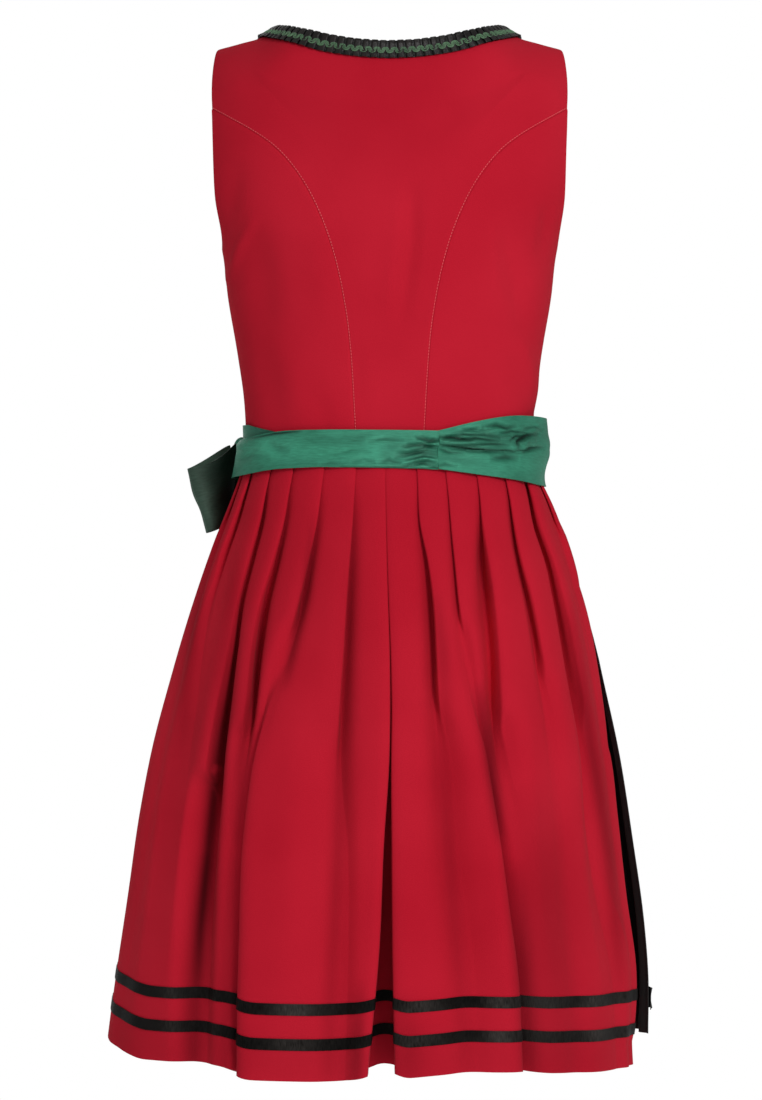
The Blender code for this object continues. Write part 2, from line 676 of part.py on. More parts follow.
def apron_ring(z):
    left, right, front = (float(column(APRON, field, z)) for field in ("left", "right", "front"))
    return Ring(left, right, front, front, SKIRT_SQUARE)


def fold_at(fold, z):
    """Angle, lap and step of a fold at a height."""
    keys = np.array(FOLD_HEIGHTS)[::-1]
    return [float(np.interp(z, keys, np.array(values, float)[::-1])) for values in fold]


def fold_points(lap, step):
    """Four points of a fold, as distance from its edge and height, in the order of the cloth."""
    lap, step = lap / 1000.0, step / 1000.0
    if lap < 0:
        along = (lap / 2, lap / 6, -lap / 6, -lap / 2)
    elif step >= 0:
        along = (lap, lap, 0.0, 0.0)
    else:
        along = (0.0, 0.0, -lap, -lap)
    return [(along[k], step * (-1 / 2, -1 / 6, 1 / 6, 1 / 2)[k]) for k in range(4)]


def front_folds():
    """Even folds of a front width, between the side seam and centre front."""
    folds = []
    for k in range(FRONT_FOLD_COUNT):
        angle = SIDE_SEAM_ANGLE + (180.0 - SIDE_SEAM_ANGLE) * (k + 0.6) / FRONT_FOLD_COUNT
        folds.append(Fold((angle,) * 5, FRONT_LAPS, FRONT_STEPS))
    return tuple(folds)


def width_row(z, folds, start, end, sign):
    """Plan line of one skirt width at a height, and the angles of its points."""
    ring = skirt_ring(z) if sign > 0 else mirrored_ring(z)
    profile = []
    for fold in folds:
        angle, lap, step = fold_at(fold, z)
        edge = float(ring.length_at(angle))
        here = [(edge + along, rise) for along, rise in fold_points(lap, step)]
        if profile:
            before = profile[-1]
            profile.append(((before[0] + here[0][0]) / 2, (before[1] + here[0][1]) / 2))
        profile.extend(here)
    first = float(ring.length_at(start)) + SEAM_GAP / 2
    last = float(ring.length_at(end)) - SEAM_GAP / 2
    profile.insert(0, (first, profile[0][1]))
    profile.append((last, profile[-1][1]))
    profile = np.array(profile)
    plan = ring.place(profile[:, 0], profile[:, 1])
    if sign < 0:
        plan = plan * np.array([-1.0, 1.0])
    return plan, ring.angle_at(profile[:, 0])


def mirrored_ring(z):
    """The skirt's ring with its right side on the left, for widths that are made mirrored."""
    left, right, back, front = (float(column(SKIRT, f, z)) for f in ("left", "right", "back", "front"))
    return Ring(right, left, back, front, SKIRT_SQUARE)


def offset_line(plan, distance):
    """A plan line moved sideways, with its corners mitred."""
    run = unit(np.diff(plan, axis=0))
    side = np.stack([-run[:, 1], run[:, 0]], axis=1)
    before = np.concatenate([side[:1], side])
    after = np.concatenate([side, side[-1:]])
    middle = unit(before + after)
    stretch = 1.0 / np.maximum((middle * before).sum(axis=1), 0.45)
    return plan + middle * (stretch * distance)[:, None]


def hem_drop(z, angles):
    """How far the points of a row of the skirt hang below it, most at the hem."""
    share = ((SKIRT_TOP_Z - z) / (SKIRT_TOP_Z - HEM_Z)) ** 2
    keys = [point.angle for point in HEM_LINE]
    return share * np.interp(angles, keys, [point.drop for point in HEM_LINE])


def width_grids(folds, start, end, sign, stands):
    """Grids of one skirt width at several distances from the middle of its cloth."""
    grids = [[] for _ in stands]
    for z in SKIRT_ROWS:
        plan, angles = width_row(z, folds, start, end, sign)
        drop = hem_drop(z, angles * sign)
        for grid, stand in zip(grids, stands):
            line = offset_line(plan, stand * sign)
            grid.append(np.column_stack([line, z - drop]))
    return [np.array(grid) for grid in grids]


def skirt_widths():
    """Every width of the skirt: name, folds, start and end angle, side."""
    return (
        ("back_left", LEFT_BACK_FOLDS, -BACK_SEAM_ANGLE, SIDE_SEAM_ANGLE, 1),
        ("back_right", RIGHT_BACK_FOLDS, BACK_SEAM_ANGLE, SIDE_SEAM_ANGLE, -1),
        ("front_left", front_folds(), SIDE_SEAM_ANGLE, 180.0, 1),
        ("front_right", front_folds(), SIDE_SEAM_ANGLE, 180.0, -1),
    )


def make_skirt():
    half = PLEAT_WALL / 2
    lay = half + LAY_GAP
    for name, folds, start, end, sign in skirt_widths():
        outer, inner, ribbon_in, ribbon_out = width_grids(
            folds, start, end, sign, (half, -half, lay, lay + RIBBON_WALL)
        )
        add_wall("skirt_" + name, outer, inner, "red_wool")
        span = SKIRT_ROWS[-2] - SKIRT_ROWS[-1]
        for level, rise in RIBBON_RISES:
            shares = [(rise + side * RIBBON_WIDTH / 2) / span for side in (-1, 1)]
            strips = []
            for grid in (ribbon_out, ribbon_in):
                strips.append(np.array([grid[-1] + (grid[-2] - grid[-1]) * share for share in shares]))
            add_wall(f"hem_ribbon_{level}_{name}", strips[0], strips[1], "black_satin")


def apron_row(z, share, stand):
    """One row of the apron's gathered cloth, at its share of the way down, moved out by stand."""
    ring = apron_ring(z)
    first, last = float(ring.length_at(APRON_LEFT_ANGLE)), float(ring.length_at(APRON_RIGHT_ANGLE))
    along = np.linspace(0.0, 1.0, 3 * APRON_GATHERS + 1)
    wave = np.sin(2 * math.pi * along * APRON_GATHERS + 1.3 * np.sin(7.0 * along))
    plan = ring.place(first + (last - first) * along, wave * apron_relief(share))
    return offset_line(plan, stand)


def apron_relief(share):
    """Half the depth of the apron's gathers at a share of the way down."""
    return APRON_RELIEF_TOP + (APRON_RELIEF_HEM - APRON_RELIEF_TOP) * share


def make_apron():
    top, hem = APRON[0].z, APRON[-1].z
    grids = {}
    for label, stand in (("outer", WALL / 2), ("inner", -WALL / 2)):
        rows = []
        for z in APRON_ROWS:
            plan = apron_row(z, (top - z) / (top - hem), stand)
            rows.append(np.column_stack([plan, np.full(len(plan), z)]))
        grids[label] = np.array(rows)
    add_wall("apron", grids["outer"], grids["inner"], "black_cotton")

    ruches = 3 * APRON_RUCHES
    strips = {}
    rise = APRON_RUCHE_RISE
    z_rows = (hem + rise, hem + rise + APRON_RUCHE_HEIGHT)
    for label, extra in (("outer", RIBBON_WALL), ("inner", 0.0)):
        rows = []
        for z in z_rows:
            share = (top - z) / (top - hem)
            ring = apron_ring(z)
            first = float(ring.length_at(APRON_LEFT_ANGLE))
            last = float(ring.length_at(APRON_RIGHT_ANGLE))
            along = np.linspace(0.0, 1.0, ruches + 1)
            ruffle = np.where(np.arange(ruches + 1) % 3 == 1, APRON_RUCHE_RELIEF, 0.0)
            stand = APRON_CREST * apron_relief(share) + WALL / 2 + LAY_GAP + extra + ruffle
            plan = ring.place(first + (last - first) * along, stand)
            rows.append(np.column_stack([plan, np.full(len(plan), z)]))
        strips[label] = np.array(rows)
    add_wall("apron_ruching", strips["outer"], strips["inner"], "black_satin")


def sash_grid(stations, columns, stand_shift, gap):
    """Grid of a stretch of sash: its rows run from the bottom edge up to the top edge."""
    angles = np.array([row.angle for row in stations])
    ring = skirt_ring(WAIST_Z)
    start = float(ring.length_at(angles[0])) + gap
    end = float(ring.length_at(angles[-1])) - gap
    at = ring.angle_at(np.linspace(start, end, columns))
    top, bottom, stand, top_stand = (
        smooth_read(at, angles, np.array([getattr(row, field) for row in stations]))
        for field in ("top", "bottom", "stand", "top_stand")
    )
    lean_z = WAIST_Z + SASH_LEAN_RISE
    grid = []
    for share in np.linspace(0.0, 1.0, SASH_ROWS):
        z = bottom + (top - bottom) * share
        lean = np.clip((z - lean_z) / (top - lean_z), 0.0, 1.0)
        out = stand + (top_stand - stand) * lean + stand_shift
        points = []
        for k in range(columns):
            if z[k] > WAIST_Z:
                plan = body_plan(at[k], z[k], out[k])
            else:
                here = skirt_ring(float(z[k]))
                plan = here.place(np.array([here.length_at(at[k])]), np.array([out[k]]))[0]
            points.append((plan[0], plan[1], z[k]))
        grid.append(points)
    return np.array(grid)


def body_plan(angle, z, stand):
    """Plan point over the bodice at an angle of the skirt's ring, moved out by stand."""
    side = float(column(BODY, "side", z))
    back, front = float(column(BODY, "back", z)), float(column(BODY, "front", z))
    ring = Ring(side, side, back, front, (BODY_SQUARE + SKIRT_SQUARE) / 2)
    return ring.place(np.array([ring.length_at(angle)]), np.array([stand + SASH_EASE]))[0]


def make_sash():
    half = WALL / 2
    gap = 0.75 * SEAM_GAP
    stretches = (
        ("sash_band_back", SASH_BAND, 19),
        ("sash_tie_right", SASH_RIGHT, 14),
        ("sash_tie_front", SASH_FRONT, 19),
    )
    for name, stations, columns in stretches:
        outer = sash_grid(stations, columns, half, gap)
        inner = sash_grid(stations, columns, -half, gap)
        add_wall(name, outer, inner, "green_taffeta")
    first, last = UNDER_LAYER_ANGLES
    angles = np.linspace(first, last, 11)
    walls = []
    for stand in (UNDER_LAYER_STAND + UNDER_LAYER_WALL, UNDER_LAYER_STAND):
        rows = []
        for z in (UNDER_LAYER_BOTTOM, UNDER_LAYER_TOP):
            rows.append([(*body_plan(angle, z, stand), z) for angle in angles])
        walls.append(np.array(rows))
    add_wall("sash_under_layer", walls[0], walls[1], "green_taffeta")


def knot_frame():
    """Middle of the knot, and the direction outward from the waist there."""
    ring = skirt_ring(BOW_Z)
    length = np.array([float(ring.length_at(BOW_ANGLE))])
    stand = SASH_FRONT[0].stand + WALL / 2 + LAY_GAP + KNOT_SIZE[1] / 2 + KNOT_CLEARANCE
    here = ring.place(length, np.array([stand]))[0]
    there = ring.place(length, np.array([stand + 0.01]))[0]
    outward = unit(there - here)
    return np.array([here[0], here[1], BOW_Z]), outward


def make_knot():
    centre, outward = knot_frame()
    bpy.ops.mesh.primitive_uv_sphere_add(segments=16, ring_count=10, radius=0.5)
    knot = bpy.context.object
    knot.name = "bow_knot"
    mesh = knot.data
    mesh.name = "bow_knot"
    turn = math.atan2(outward[1], outward[0]) - math.pi / 2
    for vertex in mesh.vertices:
        full = [math.copysign(abs(2 * part) ** KNOT_FULLNESS / 2, part) for part in vertex.co]
        x, y, z = (full[k] * KNOT_SIZE[k] for k in range(3))
        vertex.co.x = x * math.cos(turn) - y * math.sin(turn)
        vertex.co.y = x * math.sin(turn) + y * math.cos(turn)
        vertex.co.z = z
    knot.location = tuple(centre)
    for collection in list(knot.users_collection):
        collection.objects.unlink(knot)
    bpy.data.collections[NAME].objects.link(knot)
    mesh.materials.append(material("green_taffeta"))


def loop_grid(loop, stand):
    """A loop of the bow: out from the knot along one side, round its end and back, moved by stand."""
    centre, _ = knot_frame()
    end, edge = np.array(loop.end), unit(np.array(loop.edge))
    start = centre + unit(end - centre) * loop.throat_out
    axis = end - start
    opening = unit(np.cross(axis, edge)) * loop.side
    stations = 17
    rows = []
    for across in (-0.5, 0.0, 0.5):
        line = []
        for k in range(stations):
            share = k / (stations - 1)
            reach = math.sin(math.pi * share)
            turn = math.cos(math.pi * share)
            bulge = turn * math.sin(math.pi * min(share, 1 - share)) ** LOOP_ROUNDNESS
            width = LOOP_THROAT + (LOOP_WIDTH - LOOP_THROAT) * reach ** LOOP_FLARE
            half_open = LOOP_THROAT_OPENING / 2 * turn + LOOP_OPENING / 2 * bulge
            down = np.array([0.0, 0.0, -1.0]) * (1 - reach) + edge * reach
            line.append(start + axis * reach + opening * half_open + unit(down) * across * width)
        rows.append(line)
    grid = np.array(rows)
    run = np.gradient(grid, axis=1)
    up = np.gradient(grid, axis=0)
    return grid + unit(np.cross(run, up)) * stand


def make_bow():
    make_knot()
    half = WALL / 2
    for loop in LOOPS:
        walls = [loop_grid(loop, stand) for stand in (half, -half)]
        add_wall(loop.name, walls[0], walls[1], "green_taffeta")
    for tail in TAILS:
        walls = []
        for shift in (half, -half):
            rows = []
            for share in np.linspace(0.0, 1.0, 9):
                z = BOW_Z - KNOT_SIZE[2] / 2 - LAY_GAP - tail.length * share
                ring = apron_ring(z)
                angle = tail.angle_top + (tail.angle_end - tail.angle_top) * share
                middle = float(ring.length_at(angle))
                spread = min(share / TAIL_SPREAD_SHARE, 1.0)
                width = TAIL_WIDTH * (TAIL_TOP_SHARE + (1 - TAIL_TOP_SHARE) * spread)
                across = np.linspace(-0.5, 0.5, 5)
                ripple = TAIL_RIPPLE * np.cos(3 * math.pi * across)
                plan = ring.place(middle + across * width, tail.stand + ripple + shift)
                slant = across * TAIL_SLANT * share
                rows.append(np.column_stack([plan, z + slant]))
            walls.append(np.array(rows))
        add_wall(tail.name, walls[0], walls[1], "green_taffeta")


def main():
    for old in list(bpy.data.objects):
        bpy.data.objects.remove(old, do_unlink=True)
    collection = bpy.data.collections.new(NAME)
    bpy.context.scene.collection.children.link(collection)
    make_bodice()
    make_neck_trim()
    make_skirt()
    make_apron()
    make_sash()
    make_bow()


main()
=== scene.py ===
"""The looks of a dirndl: red wool, green taffeta sash and bow, black satin ribbons, green gimp braid.

The dress is empty and keeps the form it has when worn, as on an unseen figure. Metres, +Z up. The front
faces -Y and the wearer's left is +X. An angle round the dress is 0 at centre back, 90 at the wearer's
left side and 180 at centre front.
"""

import math
from collections import namedtuple

import bpy
import numpy as np
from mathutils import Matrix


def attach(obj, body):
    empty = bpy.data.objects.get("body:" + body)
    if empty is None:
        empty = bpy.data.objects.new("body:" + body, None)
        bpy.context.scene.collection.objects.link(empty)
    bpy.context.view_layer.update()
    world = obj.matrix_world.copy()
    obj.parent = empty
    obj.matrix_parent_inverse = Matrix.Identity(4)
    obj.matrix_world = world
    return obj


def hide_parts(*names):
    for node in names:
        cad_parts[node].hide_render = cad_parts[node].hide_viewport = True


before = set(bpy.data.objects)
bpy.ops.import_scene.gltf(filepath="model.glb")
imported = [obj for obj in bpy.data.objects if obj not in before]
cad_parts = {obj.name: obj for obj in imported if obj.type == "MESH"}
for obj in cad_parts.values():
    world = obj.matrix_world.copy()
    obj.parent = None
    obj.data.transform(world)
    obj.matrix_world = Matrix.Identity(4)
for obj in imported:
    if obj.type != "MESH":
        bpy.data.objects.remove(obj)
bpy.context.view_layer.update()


def table(fields, *rows):
    """Rows with named columns, of which the last may be left out."""
    kind = namedtuple("Row", fields, defaults=(None,))
    return tuple(kind(*row) for row in rows)


# Camera: behind the dress, level, with a long lens
CAMERA = (0.0081, 3.2, -0.4845)
FOCAL_PX = 3368.0
PHOTO_WIDTH, PHOTO_HEIGHT = 762, 1100
SENSOR = 36.0
FLOOR_Z = -1.42

# Cloth
WALL = 0.0012
# Thickness of the sash and of thinner cloths as a share of the wall
SASH_SHARE, THIN_SHARE = 0.75, 0.7
PLEAT_WALL = 0.0010
SEAM_GAP = 0.0004
WAIST_Z = -0.3895
SKIRT_TOP_Z = -0.3902
HEM_Z = -0.9480
UNDERARM_Z = -0.1995
MIRROR = np.array([-1.0, 1.0, 1.0])

# Bodice
RIDGE = table(
    "x z",
    (0, 0.06), (0.06, 0.044), (0.095, 0.0205), (0.1085, 0.0095), (0.12, 0.002), (0.14, -0.004),
    (0.163, -0.01), (0.19, -0.019),
)
NECK_X, NECK_Z = 0.1085, 0.0095
TIP_X, TIP_Z = 0.163, -0.0100
SHOULDER_ROUND = 0.055
BACK_NECK_Z, BACK_NECK_POWER = -0.0150, 2.0
FRONT_NECK_Z, FRONT_NECK_SQUARE = -0.165, 2.7
ARMHOLE_BACK_REACH, ARMHOLE_FRONT_REACH = 0.055, 0.062
BODY_SQUARE = 2.3
SKIRT_SQUARE = 2.15
BODY = table(
    "z side back front",
    (-0.4, 0.136, 0.0975, 0.0995),
    (-0.375, 0.1362, 0.0975, 0.1),
    (-0.342, 0.138, 0.0995, 0.103),
    (-0.3, 0.144, 0.105, 0.111),
    (-0.247, 0.153, 0.112, 0.126),
    (-0.2, 0.159, 0.116, 0.135),
    (-0.152, 0.174, 0.117, 0.133),
    (-0.095, 0.181, 0.114, 0.118),
    (-0.05, 0.18, 0.105, 0.102),
    (0, 0.178, 0.09, 0.082),
    (0.03, 0.178, 0.08, 0.07),
)
BACK_SEAM = table(
    "x z",
    (0.031, WAIST_Z), (0.04, -0.27), (0.062, -0.183), (0.101, -0.119),
)
BACK_SEAM_TOP_Z = -0.072
SEAM_ROWS = 65
FRONT_SEAM = table(
    "x z",
    (0.052, WAIST_Z), (0.07, -0.29), (0.084, -0.205), (0.108, -0.14),
)
FRONT_SEAM_TOP_Z = -0.095

# Skirt
SKIRT = table(
    "z left right back front",
    (-0.385, 0.136, 0.136, 0.0975, 0.0995),
    (-0.412, 0.14, 0.14, 0.101, 0.103),
    (-0.44, 0.15, 0.15, 0.111, 0.111),
    (-0.48, 0.164, 0.1615, 0.125, 0.122),
    (-0.53, 0.18, 0.1765, 0.138, 0.133),
    (-0.6, 0.201, 0.1895, 0.15, 0.144),
    (-0.66, 0.217, 0.197, 0.158, 0.151),
    (-0.73, 0.23, 0.199, 0.163, 0.156),
    (-0.8, 0.241, 0.205, 0.167, 0.16),
    (-0.87, 0.252, 0.218, 0.17, 0.163),
    (-0.955, 0.264, 0.2255, 0.172, 0.165),
)
# Folds at ten heights: the angle of the edge that shows, the lap under it, the step, and the depth and
# width of the hollow beside the edge, in millimetres
FOLD_HEIGHTS = (-0.420, -0.457, -0.494, -0.530, -0.576, -0.622, -0.676, -0.748, -0.838, -0.946)
Fold = namedtuple("Fold", "angles laps steps hollows widths")
CENTRE_STEPS = (4, 5, 6, 7, 9, 10, 11, 12, 14, 14)
CENTRE_HOLLOWS = (0, 2, 4, 6, 8, 12, 18, 28, 38, 44)
WIDE = (500,) * 10
LEFT_BACK_FOLDS = (
    Fold(
        (1.35, 1.05, 0.75, 0.45, 0.1, 0, 0.2, 1.1, 1.8, 3.7),
        (10, 10, 9, 9, 8, 8, 8, 9, 10, 10),
        CENTRE_STEPS,
        CENTRE_HOLLOWS,
        WIDE,
    ),
    Fold(
        (11.6, 11.3, 11.3, 11.3, 11.2, 11.3, 11.2, 9.9, 9.6, 9.8),
        (10, 8, 7, 6, 4, 2, -4, -12, -16, -18),
        (4, 6, 7, 7, 7, 6, 5, 3, 2, 1),
        (0, 3, 6, 8, 9, 10, 10, 10, 9, 7),
        (4, 6, 8, 8, 9, 11, 13, 14, 14, 14),
    ),
    Fold(
        (24.2, 23.7, 24.6, 25.8, 28.2, 31.2, 32.5, 33.1, 31.8, 29.9),
        (10, 8, 6, 3, -8, -6, 0, 3, 7, 9),
        (4, 6, 8, 9, 4, -5, -11, -15, -18, -18),
        (0, 3, 6, 8, 6, 4, 5, 6, 5, 4),
        (4, 5, 6, 8, 10, 10, 12, 14, 14, 14),
    ),
    Fold(
        (38.4, 37.1, 37.8, 39.4, 39.1, 37.6, 37.6, 37.6, 36.2, 33.8),
        (10, 8, 7, 6, 5, 3, -8, -8, -8, -6),
        (4, 6, 7, 8, 10, 10, 4, 0, 0, 0),
        (1, 4, 8, 12, 16, 15, 9, 11, 8, 4),
        (4, 5, 6, 8, 9, 9, 14, 40, 40, 40),
    ),
    Fold(
        (51.5, 49.4, 49.4, 49.4, 48.2, 48, 48, 48, 44.8, 41.2),
        (10, 8, 6, 5, 5, 5, 1, -10, -14, -14),
        (4, 6, 7, 8, 9, 11, 9, 3, 0, 0),
        (1, 5, 6, 6, 16, 26, 30, 27, 19, 11),
        (4, 5, 5, 5, 8, 12, 16, 21, 25, 28),
    ),
    Fold(
        (68, 68, 69.5, 69.5, 66, 62, 59.5, 58.5, 57, 55),
        (9, 4, 0, -8, -14, -18, -20, -22, -22, -22),
        (4, 6, 6, 5, 4, 3, 1.5, 1, 0.5, 0.5),
        (2, 6, 6, 3, 2, 1.5, 1, 1, 1, 1),
        (4, 5, 6, 8, 9, 10, 14, 20, 24, 24),
    ),
    Fold(
        (84, 83, 82, 81, 80, 79, 78, 78, 78, 78),
        (9, 0, -10, -16, -18, -20, -20, -20, -20, -20),
        (4, 5, 4, 3, 2, 2, 2, 2, 2, 2),
        (0,) * 10,
        (8,) * 10,
    ),
)
RIGHT_BACK_FOLDS = (
    Fold(
        (-1.1, -0.8, -0.5, -0.2, 0.2, 0.4, 0.3, 0.4, 0.5, 0.9),
        (10, 10, 9, 9, 8, 8, 8, 9, 10, 10),
        CENTRE_STEPS,
        CENTRE_HOLLOWS,
        WIDE,
    ),
    Fold(
        (9.2, 9, 10.8, 11.6, 11.8, 11.9, 13.4, 14.2, 16.6, 17),
        (10, 8, 5, 3, 2, -2, -12, -16, -18, -18),
        (4, 5, 6, 7, 6, 5, 3, 2, 1, 1),
        (0, 3, 8, 12, 13, 12, 11, 11, 10, 7),
        (4, 5, 8, 10, 11, 12, 15, 17, 17, 16),
    ),
    Fold(
        (20.1, 19.6, 19.4, 19.3, 20.4, 22, 24.8, 28, 30, 30.3),
        (10, 8, 6, 3, -8, -6, 2, 5, 8, 9),
        (4, 5, 5, 3, -1, -5, -10, -15, -18, -18),
        (0, 2, 4, 6, 6, 5, 5, 7, 6, 5),
        (3, 4, 5, 7, 8, 8, 10, 14, 16, 16),
    ),
    Fold(
        (33.3, 31.6, 31.2, 30.8, 30.4, 29.9, 30.6, 35, 36.5, 37),
        (10, 8, 4, 2, 2, 0, -10, -14, -14, -14),
        (4, 6, 10, 12, 12, 12, 6, 0, 0, 0),
        (0, 4, 14, 14, 13, 14, 8, 0, 0, 0),
        (4, 5, 10, 18, 20, 17, 12, 8, 8, 8),
    ),
    Fold(
        (48.1, 46.2, 45.8, 46.7, 47.5, 48.5, 50, 52, 51, 49),
        (10, 8, 7, 5, 2, -8, -16, -18, -18, -18),
        (4, 6, 7, 7, 6, 4, 2, 1, 1, 1),
        (1, 4, 6, 8, 8, 6, 4, 3, 3, 3),
        (3, 4, 5, 6, 8, 10, 12, 13, 13, 13),
    ),
    Fold(
        (63.9, 62.3, 65.2, 65.1, 65.7, 67.3, 70, 72, 74, 74),
        (10, 8, 6, 5, 4, 0, -8, -14, -16, -16),
        (5, 7, 8, 9, 10, 9, 7, 6, 4, 4),
        (3, 7, 8, 12, 14, 12, 8, 6, 3, 2),
        (4, 5, 6, 9, 11, 12, 13, 14, 14, 14),
    ),
    Fold(
        (82, 82, 82, 82, 82, 82, 83, 84, 85, 85),
        (9, 2, -6, -10, -10, -10, -10, -10, -10, -10),
        (4, 5, 4, 3, 3, 3, 3, 3, 3, 3),
        (0,) * 10,
        (8,) * 10,
    ),
)
SIDE_SEAM_ANGLE = 92.0
SIDE_SEAM_RISE = 0.001
FRONT_FOLD_COUNT, FRONT_FOLD_START = 6, 0.6
FRONT_LAPS = (9, 7, 4, 0, -8, -12, -16, -20, -24, -26)
FRONT_STEPS = (-4, -6, -7, -7, -7, -7.5, -7.5, -7.5, -7.5, -7.5)
FRONT_HOLLOWS = (1, 2, 3, 3, 3, 2.5, 2, 2, 2, 2)
FRONT_WIDTHS = (4, 4, 5, 6, 8, 9, 10, 10, 12, 12)
HEM_LINE = table(
    "angle drop",
    (-180, 0), (-125, 0.012), (-88, 0.0235), (-60, 0.018), (-38, 0.0122), (-30, 0.008), (-17, 0.008),
    (-8, 0.0095), (-2, 0.011), (0.5, 0.003), (4, 0.011), (9, 0.0158), (14, 0.0155), (28, 0.0145),
    (31, 0.01), (34, 0.0055), (42, 0.004), (60, 0.0065), (92, -0.0045), (180, 0),
)
SKIRT_ROW_COUNT = 84
RIBBON_RISES = (("upper", 0.0615), ("lower", 0.0315))
RIBBON_WIDTH = 0.0100

# Apron
APRON = table(
    "z left right front",
    (-0.386, 0.143, 0.143, 0.1065),
    (-0.412, 0.1475, 0.148, 0.1105),
    (-0.44, 0.158, 0.159, 0.119),
    (-0.48, 0.1735, 0.1705, 0.131),
    (-0.53, 0.191, 0.1855, 0.143),
    (-0.6, 0.2115, 0.2005, 0.155),
    (-0.68, 0.231, 0.2175, 0.165),
    (-0.76, 0.2455, 0.2295, 0.171),
    (-0.84, 0.2585, 0.24, 0.176),
    (-0.89, 0.2655, 0.2435, 0.1775),
    (-0.945, 0.273, 0.243, 0.179),
)
APRON_LEFT_ANGLE = 112.0
APRON_EDGE_HEIGHTS, APRON_EDGE_ANGLES = (-0.590, -0.530, -0.480, -0.400), (268.0, 260.0, 253.0, 250.0)
APRON_GATHERS = 22
# Points for each gather and each ruche, rows of the apron, and rows of a gathered or pleated ribbon
GATHER_POINTS, RUCHE_POINTS, APRON_ROWS, RIBBON_ROWS = 14, 12, 56, 11
APRON_RELIEF_TOP, APRON_RELIEF_HEM = 0.0010, 0.0042
APRON_UNEVEN, APRON_FULLNESS = 0.18, 0.95
APRON_RUCHES = 32
RUCHE_SEAT = 0.90
RUCHE_STAND, RUCHE_PLEAT, RUCHE_SWAY, RUCHE_THICKNESS = 0.0011, 0.0026, 0.0012, 0.0007
APRON_RUCHE_RISE, APRON_RUCHE_HEIGHT = 0.0230, 0.0200

# Neck trim
NECK_PLEATS = 122
NECK_RIBBON_WIDTH = 0.0180
NECK_STAND = 0.0008
NECK_EDGE_INSET = 0.0004

# Sash, by angle: the heights of its edges, and how far it stands out in its middle, at its top and, where
# that differs, at its bottom
SASH_BAND = table(
    "angle top bottom stand top_stand low_stand",
    (-16.7, -0.3745, -0.41, 0.0056, 0.0022),
    (0, -0.374, -0.4085, 0.0056, 0.0022),
    (25, -0.3735, -0.408, 0.0056, 0.0034),
    (40, -0.3738, -0.409, 0.0057, 0.0044),
    (75, -0.38, -0.415, 0.0066, 0.0046),
    (112, -0.3795, -0.416, 0.0116, 0.0058),
    (120, -0.379, -0.416, 0.0118, 0.006),
)
SASH_RIGHT = table(
    "angle top bottom stand top_stand low_stand",
    (-100, -0.36, -0.424, 0.015, 0.011, 0.0075),
    (-88, -0.36, -0.424, 0.0152, 0.0115, 0.0035),
    (-70, -0.359, -0.4235, 0.01, 0.0056, 0.005),
    (-50, -0.36, -0.419, 0.006, 0.0024),
    (-30, -0.367, -0.414, 0.0058, 0.0022),
    (-16.7, -0.3745, -0.41, 0.0056, 0.0022),
)
SASH_FRONT = table(
    "angle top bottom stand top_stand low_stand",
    (120, -0.37, -0.419, 0.0114, 0.0048),
    (150, -0.368, -0.418, 0.0114, 0.0048),
    (200, -0.366, -0.42, 0.0116, 0.0048),
    (235, -0.363, -0.423, 0.0126, 0.007, 0.0126),
    (249, -0.361, -0.4236, 0.0142, 0.0096, 0.0124),
    (260, -0.36, -0.424, 0.015, 0.011, 0.0075),
)
SASH_LEAN_RISE, SASH_EASE, WAIST_BLEND = 0.0045, 0.0006, 0.002
SASH_GAP_SHARE = 0.1
SASH_BELLY, SASH_GRAIN = 0.55, 2.5
SASH_STITCH_ROW, SASH_STITCH_COLUMNS = 4, (7, 156)
UNDER_LAYER_BOTTOM, UNDER_LAYER_STAND, UNDER_LAYER_THICKNESS = -0.3835, 0.0019, 0.0008
# The under layer's top edge by angle, and its painted shade
UNDER_LAYER = table(
    "angle top shade",
    (42, -0.377, 0.6), (50, -0.3738, 0.55), (72, -0.367, 0.2), (119, -0.3655, 0),
)

# Bow
BOW_ANGLE, BOW_Z = 120.0, -0.3950
KNOT_SIZE = (0.030, 0.022, 0.040)
KNOT_FULLNESS, KNOT_WAIST, KNOT_FOLD = 0.75, 0.07, 0.030
BOW_GAP, KNOT_EASE = 0.0004, 0.0010
KNOT_STAND = SASH_FRONT[0].stand + WALL / 2 + BOW_GAP + KNOT_SIZE[1] / 2 + KNOT_EASE
LOOP_THROAT, LOOP_WIDTH = 0.029, 0.064
LOOP_THROAT_OPENING, LOOP_OPENING = 0.0064, 0.026
LOOP_ROUNDNESS, LOOP_FLARE, LOOP_DROOP = 0.7, 0.16, 0.0250
# How far the top edges of a loop's near and far layers hang down, in metres
LOOP_TOP_DROOPS = (0.0080, 0.0035)
LOOP_HANG_REACH, LOOP_BLEND = 0.15, 0.4
LOOP_PLEAT, LOOP_SAG = 0.0013, 0.0012
# Each loop's finish and the strength of its painted shade; the back loop's finish is the green taffeta
# darkened as painted shade
LOOPS = table(
    "name end edge side throat_out finish gloom",
    ("bow_loop_back", (0.183, -0.018, -0.437), (-0.019, 0.004, -0.0614), 1, 0.019, "taffeta_reverse", 1),
    ("bow_loop_front", (0.093, -0.166, -0.434), (0.014, -0.004, -0.0614), -1, 0.0166, "green_taffeta", 0.5),
)
TAIL_WIDTH, TAIL_TOP_SHARE, TAIL_SPREAD_SHARE = 0.060, 0.35, 0.50
TAIL_RIPPLE, TAIL_FOLD, TAIL_SLANT = 0.0009, 0.0011, 0.016
TAIL_TOP_STAND, TAIL_TOP_REACH = 0.0090, 0.18
TAILS = table(
    "name angle_top angle_end length stand",
    ("bow_tail_back", 117, 127, 0.3, 0.008),
    ("bow_tail_front", 121.5, 136, 0.34, 0.014),
)
